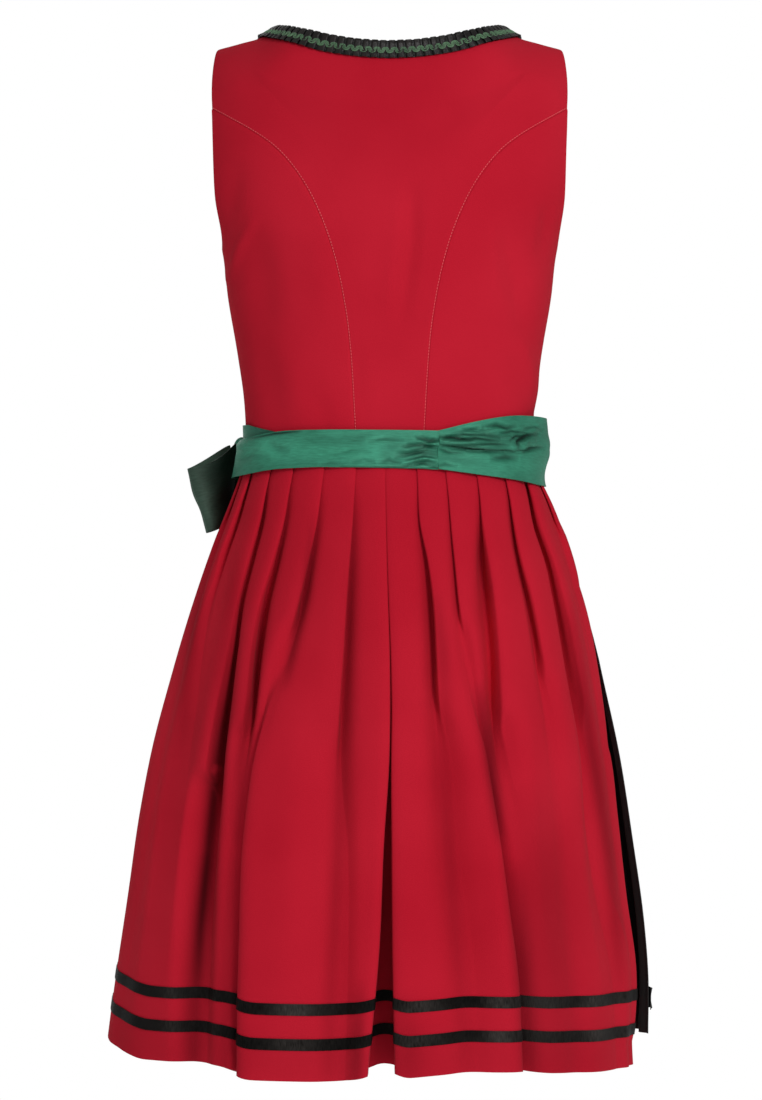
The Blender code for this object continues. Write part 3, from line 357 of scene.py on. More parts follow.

# Creases. Their paths are in the photograph's pixels, as seen from behind, or from the front in the same
# way. Width in pixels, depth in millimetres: a ridge above zero, a trough below. A soft one is alike on
# both sides. A lip rises on the right of its path, going from its first point, and falls off steeply there.
# A tone has no height: it is painted shade, darker by its depth in hundredths, or a painted highlight,
# lighter below zero.
Crease = namedtuple("Crease", "path width depth kind")


def creases(kind, *rows):
    """Creases of a kind. A row gives the width, the depth, and then the path's numbers in pairs."""
    return tuple(Crease(np.reshape(row[2:], (-1, 2)), row[0], row[1], kind) for row in rows)


BACK_CREASES = creases(
    "soft",
    (4.5, 2.8, 228, 284, 239, 247, 256, 214), (11, -3, 222, 250, 230, 205, 238, 160),
    (16, -4, 254, 228, 262, 280, 266, 340), (14, 1.4, 312, 236, 322, 280, 330, 330),
    (12, -2.2, 262, 330, 268, 380, 280, 436), (12, 1.2, 292, 352, 296, 396, 304, 430),
    (6, -1.2, 316, 394, 324, 414, 331, 438), (10, -4.4, 412, 176, 411, 240, 400, 330),
    (10, 1, 398, 200, 394, 260, 386, 320), (11, -4.2, 505, 228, 516, 280, 527, 345),
    (7, 2.6, 520, 330, 530, 372, 538, 410), (7, -2.6, 548, 200, 546, 228, 540, 262),
    (9, 1.6, 489, 210, 492, 250, 493, 300), (9, -0.9, 352, 340, 358, 380, 360, 424),
    (12, -1.2, 232, 58, 248, 74, 256, 100), (12, -1.2, 550, 52, 536, 70, 528, 100),
)
FRONT_CREASES = creases(
    "soft",
    (11, -2.8, 300, 232, 292, 262, 286, 300), (11, -3, 478, 230, 490, 268, 496, 318),
    (10, -2.8, 262, 330, 276, 372, 284, 424), (10, -3, 514, 322, 506, 366, 500, 424),
    (8, 1.6, 322, 366, 330, 400, 336, 432), (8, 1.4, 452, 372, 446, 404, 440, 432),
    (7, 2.2, 240, 236, 254, 256, 272, 266), (7, 2, 538, 240, 524, 258, 506, 268),
)
BAND_CREASES = creases(
    "soft",
    (2.6, -2.4, 438, 449, 424, 445, 400, 446), (2.8, -3, 440, 439, 430, 440, 414, 436),
    (2, 1.4, 440, 444, 430, 444, 416, 441), (3, -2, 438, 455, 420, 452, 392, 457),
    (2.4, 1.5, 438, 461, 424, 458, 398, 464), (2.4, -2.2, 438, 466, 422, 463, 400, 467),
    (3, 1.2, 426, 449, 408, 450, 388, 447), (6, -1.1, 380, 441, 340, 443, 300, 441),
    (2.4, -1.2, 350, 462, 362, 459, 376, 463), (2.6, -1.4, 376, 463, 388, 460, 402, 464),
    (2.6, -1, 318, 466, 330, 463, 344, 466), (3, -0.9, 330, 436, 356, 437, 372, 434),
    (3, -1.2, 256, 438, 280, 434, 300, 433), (5, -1.6, 268, 441, 276, 448, 290, 452),
    (5, 1.2, 250, 458, 266, 466, 292, 468), (4, -1.3, 238, 462, 252, 456, 270, 456),
    (4, 0.8, 300, 446, 322, 449, 346, 446), (1.3, -2.4, 322, 467, 350, 467.6, 400, 467.8, 437, 467.6),
    (1.3, -1.6, 452, 468, 437, 467.8, 428, 466), (1.6, -2, 439, 446, 428, 447, 408, 451),
    (1.6, -1.8, 439, 452, 426, 450, 406, 454), (1.6, -1.7, 439, 458, 424, 456, 402, 461),
    (1.5, -1.6, 439, 464, 428, 461, 410, 463), (1.5, -1.8, 439, 441, 430, 442, 416, 443),
    (2.2, -1.3, 404, 440, 384, 438, 366, 441), (2.4, -1.1, 372, 452, 352, 450, 332, 455),
    (2.2, -1, 346, 438, 320, 437, 298, 441),
) + creases(
    "lip",
    (2.6, 2, 246, 440, 274, 434, 304, 431),
) + creases(
    "tone",
    # Painted highlights on the band's left part and painted shade beside its seam
    (14, -40, 255, 450, 300, 450, 350, 450, 385, 452), (12, 24, 378, 450, 400, 450, 420, 452, 442, 454),
    (12, -42, 228, 448, 246, 452, 262, 450, 280, 448),
)
RIGHT_TIE_CREASES = creases(
    "lip",
    (2.8, 4.6, 530, 450, 500, 449, 470, 448, 434, 444),
) + creases(
    "soft",
    (2, -1.6, 528, 453, 500, 452, 470, 451, 446, 448), (4, -2.6, 520, 458, 506, 457, 490, 459),
    (2.6, -3.6, 540, 434, 528, 435, 518, 441, 516, 449), (2, 1.8, 536, 441, 527, 441, 522, 447),
    (2.6, -3.4, 546, 447, 532, 449, 522, 452), (2.2, 2.2, 520, 446, 512, 448, 506, 450),
    (2.6, -3, 438, 437, 452, 437, 474, 441), (2.2, 1.6, 438, 442, 456, 444, 484, 441),
    (2, -1.9, 444, 444, 462, 446, 486, 445), (2.6, -1.5, 450, 434, 470, 430, 486, 427),
    (2.6, -2.8, 482, 427, 497, 425, 507, 428, 518, 426), (2.2, 1.3, 486, 431, 500, 430, 514, 432),
    (3.4, -1.4, 462, 436, 484, 434, 504, 438), (2.2, -2.2, 438, 448, 450, 452, 466, 453),
    (7, -1.2, 438, 456, 462, 460, 500, 468), (4, 1.8, 540, 424, 534, 431, 531, 440),
    (2.4, -1.6, 438, 466, 446, 464, 458, 466), (1.7, -2, 443, 438, 464, 434, 488, 434),
    (1.7, -2, 448, 441, 476, 438, 500, 442), (1.6, -1.9, 468, 446, 490, 444, 510, 445),
    (1.8, -2.2, 498, 434, 512, 431, 528, 433), (2, -1.7, 522, 429, 534, 427, 543, 431),
    (1.5, -1.8, 442, 447, 462, 449, 484, 448), (1.6, -2.2, 508, 441, 516, 436, 526, 436),
    (1.6, -1.6, 462, 429, 480, 431, 494, 429), (1.6, 1.5, 500, 439, 508, 438, 514, 440),
) + creases(
    "tone",
    # Painted shade over the tie's upper half and a painted highlight along its lower part
    (8, 34, 436, 441, 460, 440, 495, 440, 530, 437, 550, 436),
    (8, -20, 440, 462, 480, 465, 520, 467, 550, 466),
)
FRONT_TIE_CREASES = creases(
    "soft",
    (5, -2.4, 520, 436, 440, 440, 360, 437, 262, 444), (5, -1.8, 522, 466, 460, 464, 380, 468, 300, 466),
    (3, 2, 524, 444, 496, 447, 470, 443), (3, -2.2, 524, 458, 500, 460, 478, 464),
    (4, -1.8, 250, 432, 272, 436, 300, 434),
) + creases(
    "lip",
    (4, 2.8, 516, 452, 430, 456, 330, 453, 250, 458),
)
# Where the hem's ribbons catch the light: tones below zero on the crests of the folds
RIBBON_GLINTS = creases(
    "tone",
    (9, -190, 171, 960, 171, 1070), (7, -120, 213, 960, 213, 1070), (21, -420, 295, 960, 297, 1070),
    (22, -320, 418, 960, 420, 1070), (14, -420, 498, 960, 500, 1070), (26, -170, 544, 960, 546, 1070),
    (14, -390, 594, 960, 597, 1070), (7, -300, 622, 960, 624, 1070),
)
# Painted shade in the skirt's folds and hollows, and painted highlights below zero on some crests
SKIRT_PAINTED_SHADING = creases(
    "tone",
    (12, 26, 203, 850, 196, 920, 190, 1000, 188, 1060, 186, 1200),
    (13, 24, 231, 850, 228, 950, 226, 1060, 225, 1200),
    (10, 52, 238, 540, 229, 660, 219, 745, 213, 800, 207, 865, 201, 930, 197, 1000, 190, 1200),
    (6, 30, 226, 690, 219, 745, 213, 800, 207, 865, 201, 930, 197, 1000),
    (7, 34, 258, 600, 249, 700, 240, 770, 236, 850), (5, 46, 314, 510, 305, 590, 294, 645, 286, 690),
    (9, 27, 352, 480, 350, 620, 343, 760, 336, 900, 330, 1010, 328, 1120),
    (9, -14, 362, 780, 360, 900, 357, 1040), (7, 22, 436, 590, 443, 650, 447, 710),
    (9, 26, 435, 690, 440, 745, 446, 830, 452, 900, 460, 980, 468, 1100),
    (7.5, 58, 479, 680, 484, 715, 490, 755, 496, 800, 501, 845), (6, -40, 490, 590, 491, 660, 493, 730),
    (11, 42, 514, 860, 520, 920, 525, 980, 530, 1040, 537, 1200),
    (26, 26, 530, 780, 545, 860, 553, 940, 560, 1020, 570, 1180),
    (8, 45, 566, 590, 578, 660, 588, 725, 599, 790, 610, 860, 617, 930, 622, 1000),
    (10, -26, 196, 560, 178, 650, 162, 740, 150, 830, 140, 920),
    (7, -26, 238, 520, 222, 580, 207, 640, 196, 720), (6, 26, 208, 560, 196, 620, 186, 690, 180, 760),
    (8, 30, 360, 980, 358, 1040, 356, 1120), (16, 20, 400, 990, 408, 1045, 412, 1110),
    (30, 12, 40, 1038, 100, 1044, 237, 1058, 380, 1062, 520, 1056, 640, 1050, 720, 1040),
)
# Long creases of the skirt: signed angle and height of three points, width in metres, depth in millimetres
SKIRT_CREASES = creases(
    "soft",
    (0.05, 4.4, 91, -0.44, 91, -0.62, 91, -0.8, 91, -1.06),
    (0.05, 8, -89, -0.46, -89, -0.56, -89, -0.76, -89, -1.06),
    (0.045, 11, -88, -0.665, -88, -0.76, -88, -0.85, -88, -0.928),
    (0.05, 5.2, -89, -0.42, -89, -0.452, -89, -0.484, -89, -0.516),
    (0.0035, 1, -73, -0.478, -79, -0.56, -82, -0.64), (0.004, 1.5, -70, -0.74, -76, -0.8, -82, -0.85),
    (0.014, 2.2, 22, -0.6, 21, -0.76, 20, -0.93), (0.007, -1.2, 16, -0.64, 16, -0.76, 15, -0.9),
    (0.012, 2, -7, -0.54, -7.4, -0.74, -8, -0.93), (0.009, 2.6, -24, -0.7, -26, -0.8, -27, -0.93),
    (0.011, 1.6, -38, -0.6, -40, -0.72, -41, -0.9), (0.012, 2.2, -60, -0.62, -62, -0.74, -62, -0.9),
    (0.016, 1.6, 54, -0.64, 53, -0.76, 52, -0.93), (0.012, 1.6, 68, -0.56, 68, -0.72, 66, -0.93),
    (0.011, 1.3, 110, -0.52, 112, -0.7, 110, -0.92), (0.011, 1.2, -108, -0.56, -110, -0.72, -109, -0.93),
)


def column(rows, field, z):
    """A column of a table, read at values of its first column along a smooth curve."""
    keys = np.array([row[0] for row in rows], float)
    values = np.array([getattr(row, field) for row in rows], float)
    order = np.argsort(keys)
    return smooth_read(np.asarray(z, float), keys[order], values[order])


def columns(rows, fields, z):
    """Several columns of a table, read at z."""
    return [column(rows, field, z) for field in fields.split()]


def smooth_read(at, keys, values):
    """Cubic reading of values at rising keys, with the slope at each key taken from its neighbours."""
    slopes = np.gradient(values, keys)
    at = np.clip(at, keys[0], keys[-1])
    i = np.clip(np.searchsorted(keys, at) - 1, 0, len(keys) - 2)
    span = keys[i + 1] - keys[i]
    t = (at - keys[i]) / span
    rise = values[i + 1] - values[i]
    first = t * t * (3 - 2 * t) * rise
    second = span * (slopes[i] * t * (1 - t) ** 2 - slopes[i + 1] * t * t * (1 - t))
    return values[i] + first + second


def unit(vectors):
    """Vectors at a length of one."""
    return vectors / np.maximum(np.linalg.norm(vectors, axis=-1, keepdims=True), 1e-12)


def bent(values, power):
    """Values raised to a power, with their signs kept."""
    return np.sign(values) * np.abs(values) ** power


def along_line(points):
    """Lengths along a polyline at its points."""
    steps = np.linalg.norm(np.diff(points, axis=0), axis=1)
    return np.concatenate([[0.0], np.cumsum(steps)])


def resample(points, count):
    """count points along a polyline, evenly spaced."""
    points = np.asarray(points, float)
    along = along_line(points)
    at = np.linspace(0.0, along[-1], count)
    return np.stack([np.interp(at, along, values) for values in points.T], axis=1)


def spline(points, count):
    """A smooth curve through a few points, as count points evenly spaced."""
    points = np.asarray(points, float)
    keys = np.arange(len(points), dtype=float)
    fine = np.linspace(0.0, keys[-1], 40 * len(points))
    return resample(np.stack([smooth_read(fine, keys, values) for values in points.T], axis=1), count)


def shoulder_z(x):
    """Height of the ridge of the shoulders."""
    return column(RIDGE, "z", np.abs(x))


def depth_squared(x, z, back):
    """Square of the bodice's depth at x and z, behind (back true) or in front."""
    depth = np.where(back, column(BODY, "back", z), column(BODY, "front", z))
    fall = 1.0 - (np.abs(x) / column(BODY, "side", z)) ** BODY_SQUARE
    q = np.minimum((shoulder_z(x) - z) / SHOULDER_ROUND, 1.0)
    return depth * depth * bent(fall, 2 / BODY_SQUARE) * (2.0 * q - q * q)


def outside(points):
    """Below zero inside the bodice, above zero outside it."""
    x, y, z = points[..., 0], points[..., 1], points[..., 2]
    return y * y - depth_squared(x, z, y >= 0)


def body_slope(points):
    """Slope of outside at points."""
    nudge = 1e-5
    rises = [outside(points + shift) - outside(points - shift) for shift in nudge * np.eye(3)]
    return np.stack(rises, axis=-1) / (2 * nudge)


def on_body(points):
    """Points moved onto the bodice's surface, the shortest way."""
    points = np.array(points, float)
    longest = 0.004
    for _ in range(10):
        slope = body_slope(points)
        size = np.maximum((slope * slope).sum(axis=-1, keepdims=True), 1e-9)
        points -= np.clip(slope * (outside(points)[..., None] / size), -longest, longest)
    return points


def body_normal(points):
    """Outward directions from the bodice at points."""
    return unit(body_slope(points))


def body_from_xz(x, z, back):
    """Point of the bodice at x and z."""
    y = np.sqrt(np.maximum(depth_squared(np.asarray(x, float), np.asarray(z, float), back), 0.0))
    return np.stack([x, y if back else -y, z], axis=-1)


def body_from_yz(y, z):
    """Points of the left half of the bodice at y and z, found by halving."""
    near, far = np.full_like(y, 0.05), column(BODY, "side", z)
    for _ in range(40):
        middle = (near + far) / 2
        inside = depth_squared(middle, z, y >= 0) > y * y
        near, far = np.where(inside, middle, near), np.where(inside, far, middle)
    return np.stack([near, y, z], axis=-1)


def round_plan(angle, sizes, square, stand=0.0):
    """Plan points at angles on a ring of half-sizes left, right, back and front, moved out by stand."""
    left, right, back, front = sizes
    sine, cosine = np.sin(np.radians(angle)), np.cos(np.radians(angle))
    half = np.stack([np.where(sine >= 0, left, right), np.where(cosine >= 0, back, front)], axis=-1)
    share = bent(np.stack([sine, cosine], axis=-1), 2 / square)
    return half * share + unit(bent(share, square - 1) / half) * np.asarray(stand)[..., None]


def body_ring(angles, z):
    """Points of the bodice round its ring at z."""
    side, back, front = columns(BODY, "side back front", z)
    return at_height(round_plan(angles, (side, side, back, front), BODY_SQUARE), z)


def at_height(plan, z):
    """Points in plan, at a height."""
    return np.column_stack([plan, np.broadcast_to(z, len(plan))])


def ring_angle(x, z):
    """Angle on the back half of the bodice's ring at which it reaches x."""
    share = (abs(x) / float(column(BODY, "side", z))) ** (BODY_SQUARE / 2.0)
    return math.degrees(math.asin(min(share, 1.0)))


def patch(bottom, top, left, right):
    """Grid of points on the bodice between four edges. Left and right run upward."""
    across = np.linspace(0.0, 1.0, len(bottom))[None, :, None]
    up = np.linspace(0.0, 1.0, len(left))[:, None, None]
    grid = (1 - up) * bottom[None] + up * top[None]
    grid = grid + (1 - across) * left[:, None] + across * right[:, None]
    corners = (1 - up) * ((1 - across) * bottom[0] + across * bottom[-1])
    corners = corners + up * ((1 - across) * top[0] + across * top[-1])
    grid = grid - corners
    grid[1:-1, 1:-1] = on_body(grid[1:-1, 1:-1])
    return grid


def armhole(count):
    """The left armhole from the shoulder tip down the back, under the arm and up the front."""
    turn = np.linspace(0.0, 2 * math.pi, 481)[1:-1]
    reach = np.where(turn < math.pi, ARMHOLE_BACK_REACH, ARMHOLE_FRONT_REACH)
    z = (TIP_Z + UNDERARM_Z) / 2 + (TIP_Z - UNDERARM_Z) / 2 * np.cos(turn)
    tip = np.array([[TIP_X, 0.0, TIP_Z]])
    return resample(np.concatenate([tip, body_from_yz(reach * np.sin(turn), z), tip]), count)


def seam_line(rows, armhole_points, top_z, back):
    """A seam from the waist to the armhole, ending on the armhole where it crosses top_z."""
    side = armhole_points[(armhole_points[:, 1] > 0) == back]
    end = side[np.argmin(np.abs(side[:, 2] - top_z))]
    flat = spline([tuple(row) for row in rows] + [(end[0], end[2])], 200)
    curve = body_from_xz(flat[:, 0], flat[:, 1], back)
    curve[-1] = end
    return resample(curve, SEAM_ROWS), end


def part_of(points, first, last):
    """The stretch of a polyline between its points nearest to first and last, in that order."""
    i = int(np.argmin(np.linalg.norm(points - first, axis=1)))
    j = int(np.argmin(np.linalg.norm(points - last, axis=1)))
    return points[i:j + 1] if i < j else points[j:i + 1][::-1]


def neckline_back(count):
    """The back neck edge from the left neck point to the right one."""
    x = NECK_X * np.cos(np.linspace(0.0, math.pi, 241))
    z = BACK_NECK_Z + (NECK_Z - BACK_NECK_Z) * (np.abs(x) / NECK_X) ** BACK_NECK_POWER
    return resample(body_from_xz(x, np.minimum(z, shoulder_z(x)), True), count)


def neckline_front(count):
    """The front neck edge from centre front to the left neck point."""
    turn = np.linspace(0.0, math.pi / 2, 241)
    x = NECK_X * np.sin(turn) ** (2 / FRONT_NECK_SQUARE)
    drop = np.cos(turn) ** (2 / FRONT_NECK_SQUARE)
    z = NECK_Z - (NECK_Z - FRONT_NECK_Z) * drop
    return resample(body_from_xz(x, np.minimum(z, shoulder_z(x)), False), count)


def shoulder_seam(count):
    """From the left neck point to the left shoulder tip, along the ridge."""
    x = np.linspace(NECK_X, TIP_X, count)
    return np.stack([x, np.zeros(count), shoulder_z(x)], axis=1)


def bodice_grids():
    """Outer surface of every bodice panel, by name."""
    hole = armhole(1440)
    lowest, tip = hole[np.argmin(hole[:, 2])], hole[0]
    hole_rows, edge_rows, columns_each, overlap = 33, 37, 33, 60
    back_strap, back_neck, front_strap = 13, 41, 27
    back_seam, back_end = seam_line(BACK_SEAM, hole, BACK_SEAM_TOP_Z, True)
    front_seam, front_end = seam_line(FRONT_SEAM, hole, FRONT_SEAM_TOP_Z, False)
    half = len(hole) // 2
    back_half, front_half = hole[:half + overlap], hole[half - overlap:]
    side_z = np.linspace(WAIST_Z, lowest[2], SEAM_ROWS)
    side_seam = np.stack([column(BODY, "side", side_z), np.zeros(SEAM_ROWS), side_z], axis=1)

    upper_hole = resample(part_of(back_half, back_end, tip), hole_rows)
    left_edge = np.concatenate([back_seam, upper_hole[1:]])
    strap = shoulder_seam(back_strap)
    top = np.concatenate([strap[::-1], neckline_back(back_neck)[1:-1], strap * MIRROR])[::-1]
    waist_turn = ring_angle(BACK_SEAM[0].x, WAIST_Z)
    bottom = body_ring(np.linspace(-waist_turn, waist_turn, len(top)), WAIST_Z)
    grids = {"bodice_back": patch(bottom, top, left_edge * MIRROR, left_edge)}

    top = resample(part_of(back_half, back_end, lowest), columns_each)
    bottom = body_ring(np.linspace(waist_turn, 90.0, columns_each), WAIST_Z)
    grids["bodice_side_back_left"] = patch(bottom, top, back_seam, side_seam)

    front_turn = 180.0 - ring_angle(FRONT_SEAM[0].x, WAIST_Z)
    top = resample(part_of(front_half, lowest, front_end), columns_each)
    bottom = body_ring(np.linspace(90.0, front_turn, columns_each), WAIST_Z)
    grids["bodice_side_front_left"] = patch(bottom, top, side_seam, front_seam)

    front_hole = resample(part_of(front_half, front_end, tip), hole_rows)
    outer_edge = np.concatenate([front_seam, front_hole[1:]])
    front_edge = body_from_xz(np.zeros(edge_rows), np.linspace(WAIST_Z, FRONT_NECK_Z, edge_rows), False)
    inner_edge = np.concatenate([front_edge, neckline_front(len(outer_edge) - edge_rows + 1)[1:]])
    strap = shoulder_seam(front_strap)[::-1]
    bottom = body_ring(np.linspace(front_turn, 180.0, len(strap)), WAIST_Z)
    grids["bodice_front_left"] = patch(bottom, strap, outer_edge, inner_edge)
    for name in ("bodice_side_back", "bodice_side_front", "bodice_front"):
        grids[name + "_right"] = (grids[name + "_left"] * MIRROR)[:, ::-1]
    return grids


class Ring:
    """A ring round the dress at one height, read by angle or by length along it."""

    def __init__(self, *sizes):
        self.angles = np.arange(-190.0, 370.5, 0.5)
        self.points = round_plan(self.angles, sizes, SKIRT_SQUARE)
        self.lengths = along_line(self.points)

    def length_at(self, angle):
        return np.interp(angle, self.angles, self.lengths)

    def angle_at(self, length):
        return np.interp(length, self.lengths, self.angles)

    def read(self, length):
        return np.stack([np.interp(length, self.lengths, values) for values in self.points.T], axis=1)

    def place(self, length, stand):
        """Plan points at lengths along the ring, moved out by stand."""
        reach = 0.003
        run = unit(self.read(length + reach) - self.read(length - reach))
        return self.read(length) + left_of(run) * np.asarray(stand)[:, None]


def left_of(runs):
    """Directions in plan, turned a quarter to their left."""
    return np.stack([-runs[:, 1], runs[:, 0]], axis=1)


def skirt_ring(z, sign=1):
    """The skirt's ring at z, with its right side on the left where sign is below zero."""
    left, right, back, front = columns(SKIRT, "left right back front", z)
    return Ring(left, right, back, front) if sign > 0 else Ring(right, left, back, front)


def apron_ring(z):
    """The apron's ring at z."""
    left, right, front = columns(APRON, "left right front", z)
    return Ring(left, right, front, front)


def photo_place(points, from_front=False):
    """Where points show in the photograph, in its pixels, or where they would in one of the front."""
    turned = points * np.array([-1.0, -1.0, 1.0]) if from_front else points
    scale = FOCAL_PX / (CAMERA[1] - turned[..., 1])
    across = PHOTO_WIDTH / 2 + (CAMERA[0] - turned[..., 0]) * scale
    down = PHOTO_HEIGHT / 2 + (CAMERA[2] - turned[..., 2]) * scale
    return np.stack([across, down], axis=-1)


# How creases fade toward their ends, how dark and wide the painted shade in a trough and under a lip is, how
# long a lip's back and front are for its width, and the darkest painted shade
CREASE_TAPER = 0.7
CAVITY_DEPTH, CAVITY_SHADE, CAVITY_WIDTH = 3.0, 0.74, 0.8
LIP_SHADE, LIP_LINE = 0.88, 1.7
LIP_BACK, LIP_FRONT = 3, 0.25
SHADE_LIMIT = 0.92


def relief(places, creased, gloom=False):
    """Height of the creases at places, in metres, or, for painted shading, how much painted shade they put
    there, with painted highlights below zero.
    """
    total = np.zeros(places.shape[:-1])
    tone = np.zeros(places.shape[:-1])
    for crease in creased:
        path = crease.path
        best = np.full(total.shape, np.inf)
        side = np.zeros(total.shape)
        share = np.zeros(total.shape)
        for k in range(len(path) - 1):
            leg = path[k + 1] - path[k]
            t = np.clip(((places - path[k]) @ leg) / (leg @ leg), 0.0, 1.0)
            gap = places - (path[k] + t[..., None] * leg)
            distance = np.linalg.norm(gap, axis=-1)
            closer = distance < best
            best = np.where(closer, distance, best)
            side = np.where(closer, leg[0] * gap[..., 1] - leg[1] * gap[..., 0], side)
            share = np.where(closer, (k + t) / (len(path) - 1), share)
        taper = np.sin(math.pi * share) ** CREASE_TAPER
        # A tone is painted shade, or a painted highlight below zero
        if crease.kind == "tone":
            tone += crease.depth / 100.0 * np.exp(-(best / crease.width) ** 2) * taper
            continue
        # Painted shade along a trough and under a lip
        if gloom:
            lip = crease.kind == "lip"
            line = np.exp(-(best / (LIP_LINE if lip else CAVITY_WIDTH * crease.width)) ** 2)
            most = LIP_SHADE if lip else CAVITY_SHADE * min(max(-crease.depth / CAVITY_DEPTH, 0.0), 1.0)
            total = np.maximum(total, most * line * taper)
            continue
        if crease.kind == "lip":
            signed = best * np.sign(side)
            form = np.where(signed > 0, np.exp(-signed / (LIP_BACK * crease.width)), 0.0)
            form = form * np.clip(signed / (LIP_FRONT * crease.width), 0.0, 1.0)
        else:
            form = np.exp(-(best / crease.width) ** 2)
        total += crease.depth / 1000.0 * form * taper
    return np.minimum(total + tone, SHADE_LIMIT) if gloom else total


def grid_shell(name, outer, inner, finish, closed=False):
    """The thin shell of a node between two grids of rows and columns, with its cloth's map in metres."""
    rows, wide = outer.shape[:2]
    spans = wide if closed else wide - 1
    r, c = (part.ravel() for part in np.meshgrid(np.arange(rows - 1), np.arange(spans), indexing="ij"))

    def quads(*corners):
        return np.stack([np.stack(np.broadcast_arrays(*corner), axis=-1) for corner in corners], axis=1)

    faces = [
        quads((r, c, 0), (r, c + 1, 0), (r + 1, c + 1, 0), (r + 1, c, 0)),
        quads((r + 1, c, 1), (r + 1, c + 1, 1), (r, c + 1, 1), (r, c, 1)),
    ]
    edge, last = np.arange(spans), rows - 1
    faces.append(quads((0, edge + 1, 0), (0, edge, 0), (0, edge, 1), (0, edge + 1, 1)))
    faces.append(quads((last, edge, 0), (last, edge + 1, 0), (last, edge + 1, 1), (last, edge, 1)))
    if not closed:
        edge, last = np.arange(rows - 1), wide - 1
        faces.append(quads((edge, 0, 0), (edge + 1, 0, 0), (edge + 1, 0, 1), (edge, 0, 1)))
        faces.append(quads((edge + 1, last, 0), (edge, last, 0), (edge, last, 1), (edge + 1, last, 1)))
    corners = np.concatenate(faces)
    index = corners[..., 2] * rows * wide + corners[..., 0] * wide + corners[..., 1] % wide
    points = np.concatenate([outer.reshape(-1, 3), inner.reshape(-1, 3)])
    tips = points[index]
    volume = sum((tips[:, 0] * np.cross(tips[:, k], tips[:, k + 1])).sum() for k in (1, 2))
    if volume < 0:
        corners, index = corners[:, ::-1], index[:, ::-1]
    full = np.concatenate([outer, outer[:, :1]], axis=1) if closed else outer
    across = lengths_across(full)
    across -= across[:, full.shape[1] // 2][:, None]
    rises = np.linalg.norm(np.diff(full, axis=0), axis=2).mean(axis=1)
    up = np.concatenate([[0.0], np.cumsum(rises)])
    places = np.stack([across[corners[..., 0], corners[..., 1]], up[corners[..., 0]]], axis=-1)
    piece = new_piece(name, points, index.tolist(), places, finish, SHELL_SHARP)
    declare(name)
    return piece


def lengths_across(grid):
    """Lengths along the rows of a grid at its points."""
    steps = np.linalg.norm(np.diff(grid, axis=1), axis=2)
    return np.concatenate([np.zeros((len(grid), 1)), np.cumsum(steps, axis=1)], axis=1)


def linked(name, data):
    """A new object for some data, in the scene."""
    made = bpy.data.objects.new(name, data)
    bpy.context.scene.collection.objects.link(made)
    return made


# Edges sharper than this, in degrees, stay sharp: on a shell and on trim
SHELL_SHARP, TRIM_SHARP = 50.0, 80.0


def new_piece(name, points, faces, places, finish, sharp=TRIM_SHARP):
    """A piece on the root body, smooth but for its sharp edges, with each corner's place on its cloth."""
    mesh = bpy.data.meshes.new(name)
    mesh.from_pydata(np.asarray(points).tolist(), [], faces)
    mesh.uv_layers.new(name="cloth").data.foreach_set("uv", places.astype(np.float32).ravel())
    mesh.polygons.foreach_set("use_smooth", [True] * len(mesh.polygons))
    mesh.set_sharp_from_angle(angle=math.radians(sharp))
    mesh.materials.append(MATERIALS[finish])
    mesh.update()
    made = linked(name, mesh)
    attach(made, "root")
    return made


def tube(base, rings, sides):
    """Faces round rings of points that follow one another from point number base, with closed ends."""
    faces = []
    for first in range(base, base + (rings - 1) * sides, sides):
        for a in range(sides):
            b = (a + 1) % sides
            faces.append((first + a, first + b, first + sides + b, first + sides + a))
    faces.append(tuple(range(base, base + sides))[::-1])
    faces.append(tuple(range(base + (rings - 1) * sides, base + rings * sides)))
    return faces


def grid_normal(grid, closed=False):
    """Normals of a grid, outward where its columns run anticlockwise seen from outside."""
    if closed:
        run = np.roll(grid, -1, axis=1) - np.roll(grid, 1, axis=1)
    else:
        run = np.gradient(grid, axis=1)
    return unit(np.cross(run, np.gradient(grid, axis=0)))


def outward(grid):
    """Normals of a grid, turned away from the dress's middle line."""
    normals = grid_normal(grid)
    return normals * np.sign((normals * grid * np.array([1.0, 1.0, 0.0])).sum())


def sheet_shell(name, middle, lift, thickness, finish):
    """A shell of a thickness round a middle grid that is first moved out by lift."""
    moved = middle + outward(middle) * np.asarray(lift)[..., None]
    normals = outward(moved)
    half = normals * thickness / 2
    return grid_shell(name, moved + half, moved - half, finish), moved + half, normals


# Soft unevenness of a cloth: its height and size in metres, and the seed of its random waves
Ripple = namedtuple("Ripple", "height size seed")
BODICE_RIPPLE, SKIRT_RIPPLE = Ripple(0.00022, 0.09, 3), Ripple(0.0005, 0.16, 11)
SASH_RIPPLE, UNDER_RIPPLE = Ripple(0.00035, 0.05, 5), Ripple(0.0003, 0.03, 8)


def ripples(places, ripple):
    """Soft random height, mostly between -1 and 1, as a sum of waves over places in metres."""
    source = np.random.default_rng(ripple.seed)
    total = np.zeros(places.shape[:-1])
    for _ in range(9):
        turn = source.uniform(0.0, 2 * math.pi)
        pitch = ripple.size * source.uniform(0.6, 1.7)
        way = np.array([math.cos(turn), math.sin(turn)])
        total += np.sin(2 * math.pi * (places @ way) / pitch + source.uniform(0.0, 6.3))
    return total / 4.0


# Height of the cloth beside a seam, by distance from it, in metres, how close to it the added columns lie
# as shares of the first cell, and how far from it the cloth is smooth
SEAM_DISTANCES = (0.0, 0.0005, 0.0011, 0.0020, 0.0060, 0.0110)
SEAM_HEIGHTS = (-0.0005, -0.00015, 0.0, 0.00012, 0.00010, 0.0)
SEAM_SHARES = (0.16, 0.40, 0.70)
SEAM_CALM = 0.02
STITCH_COLUMN = 3


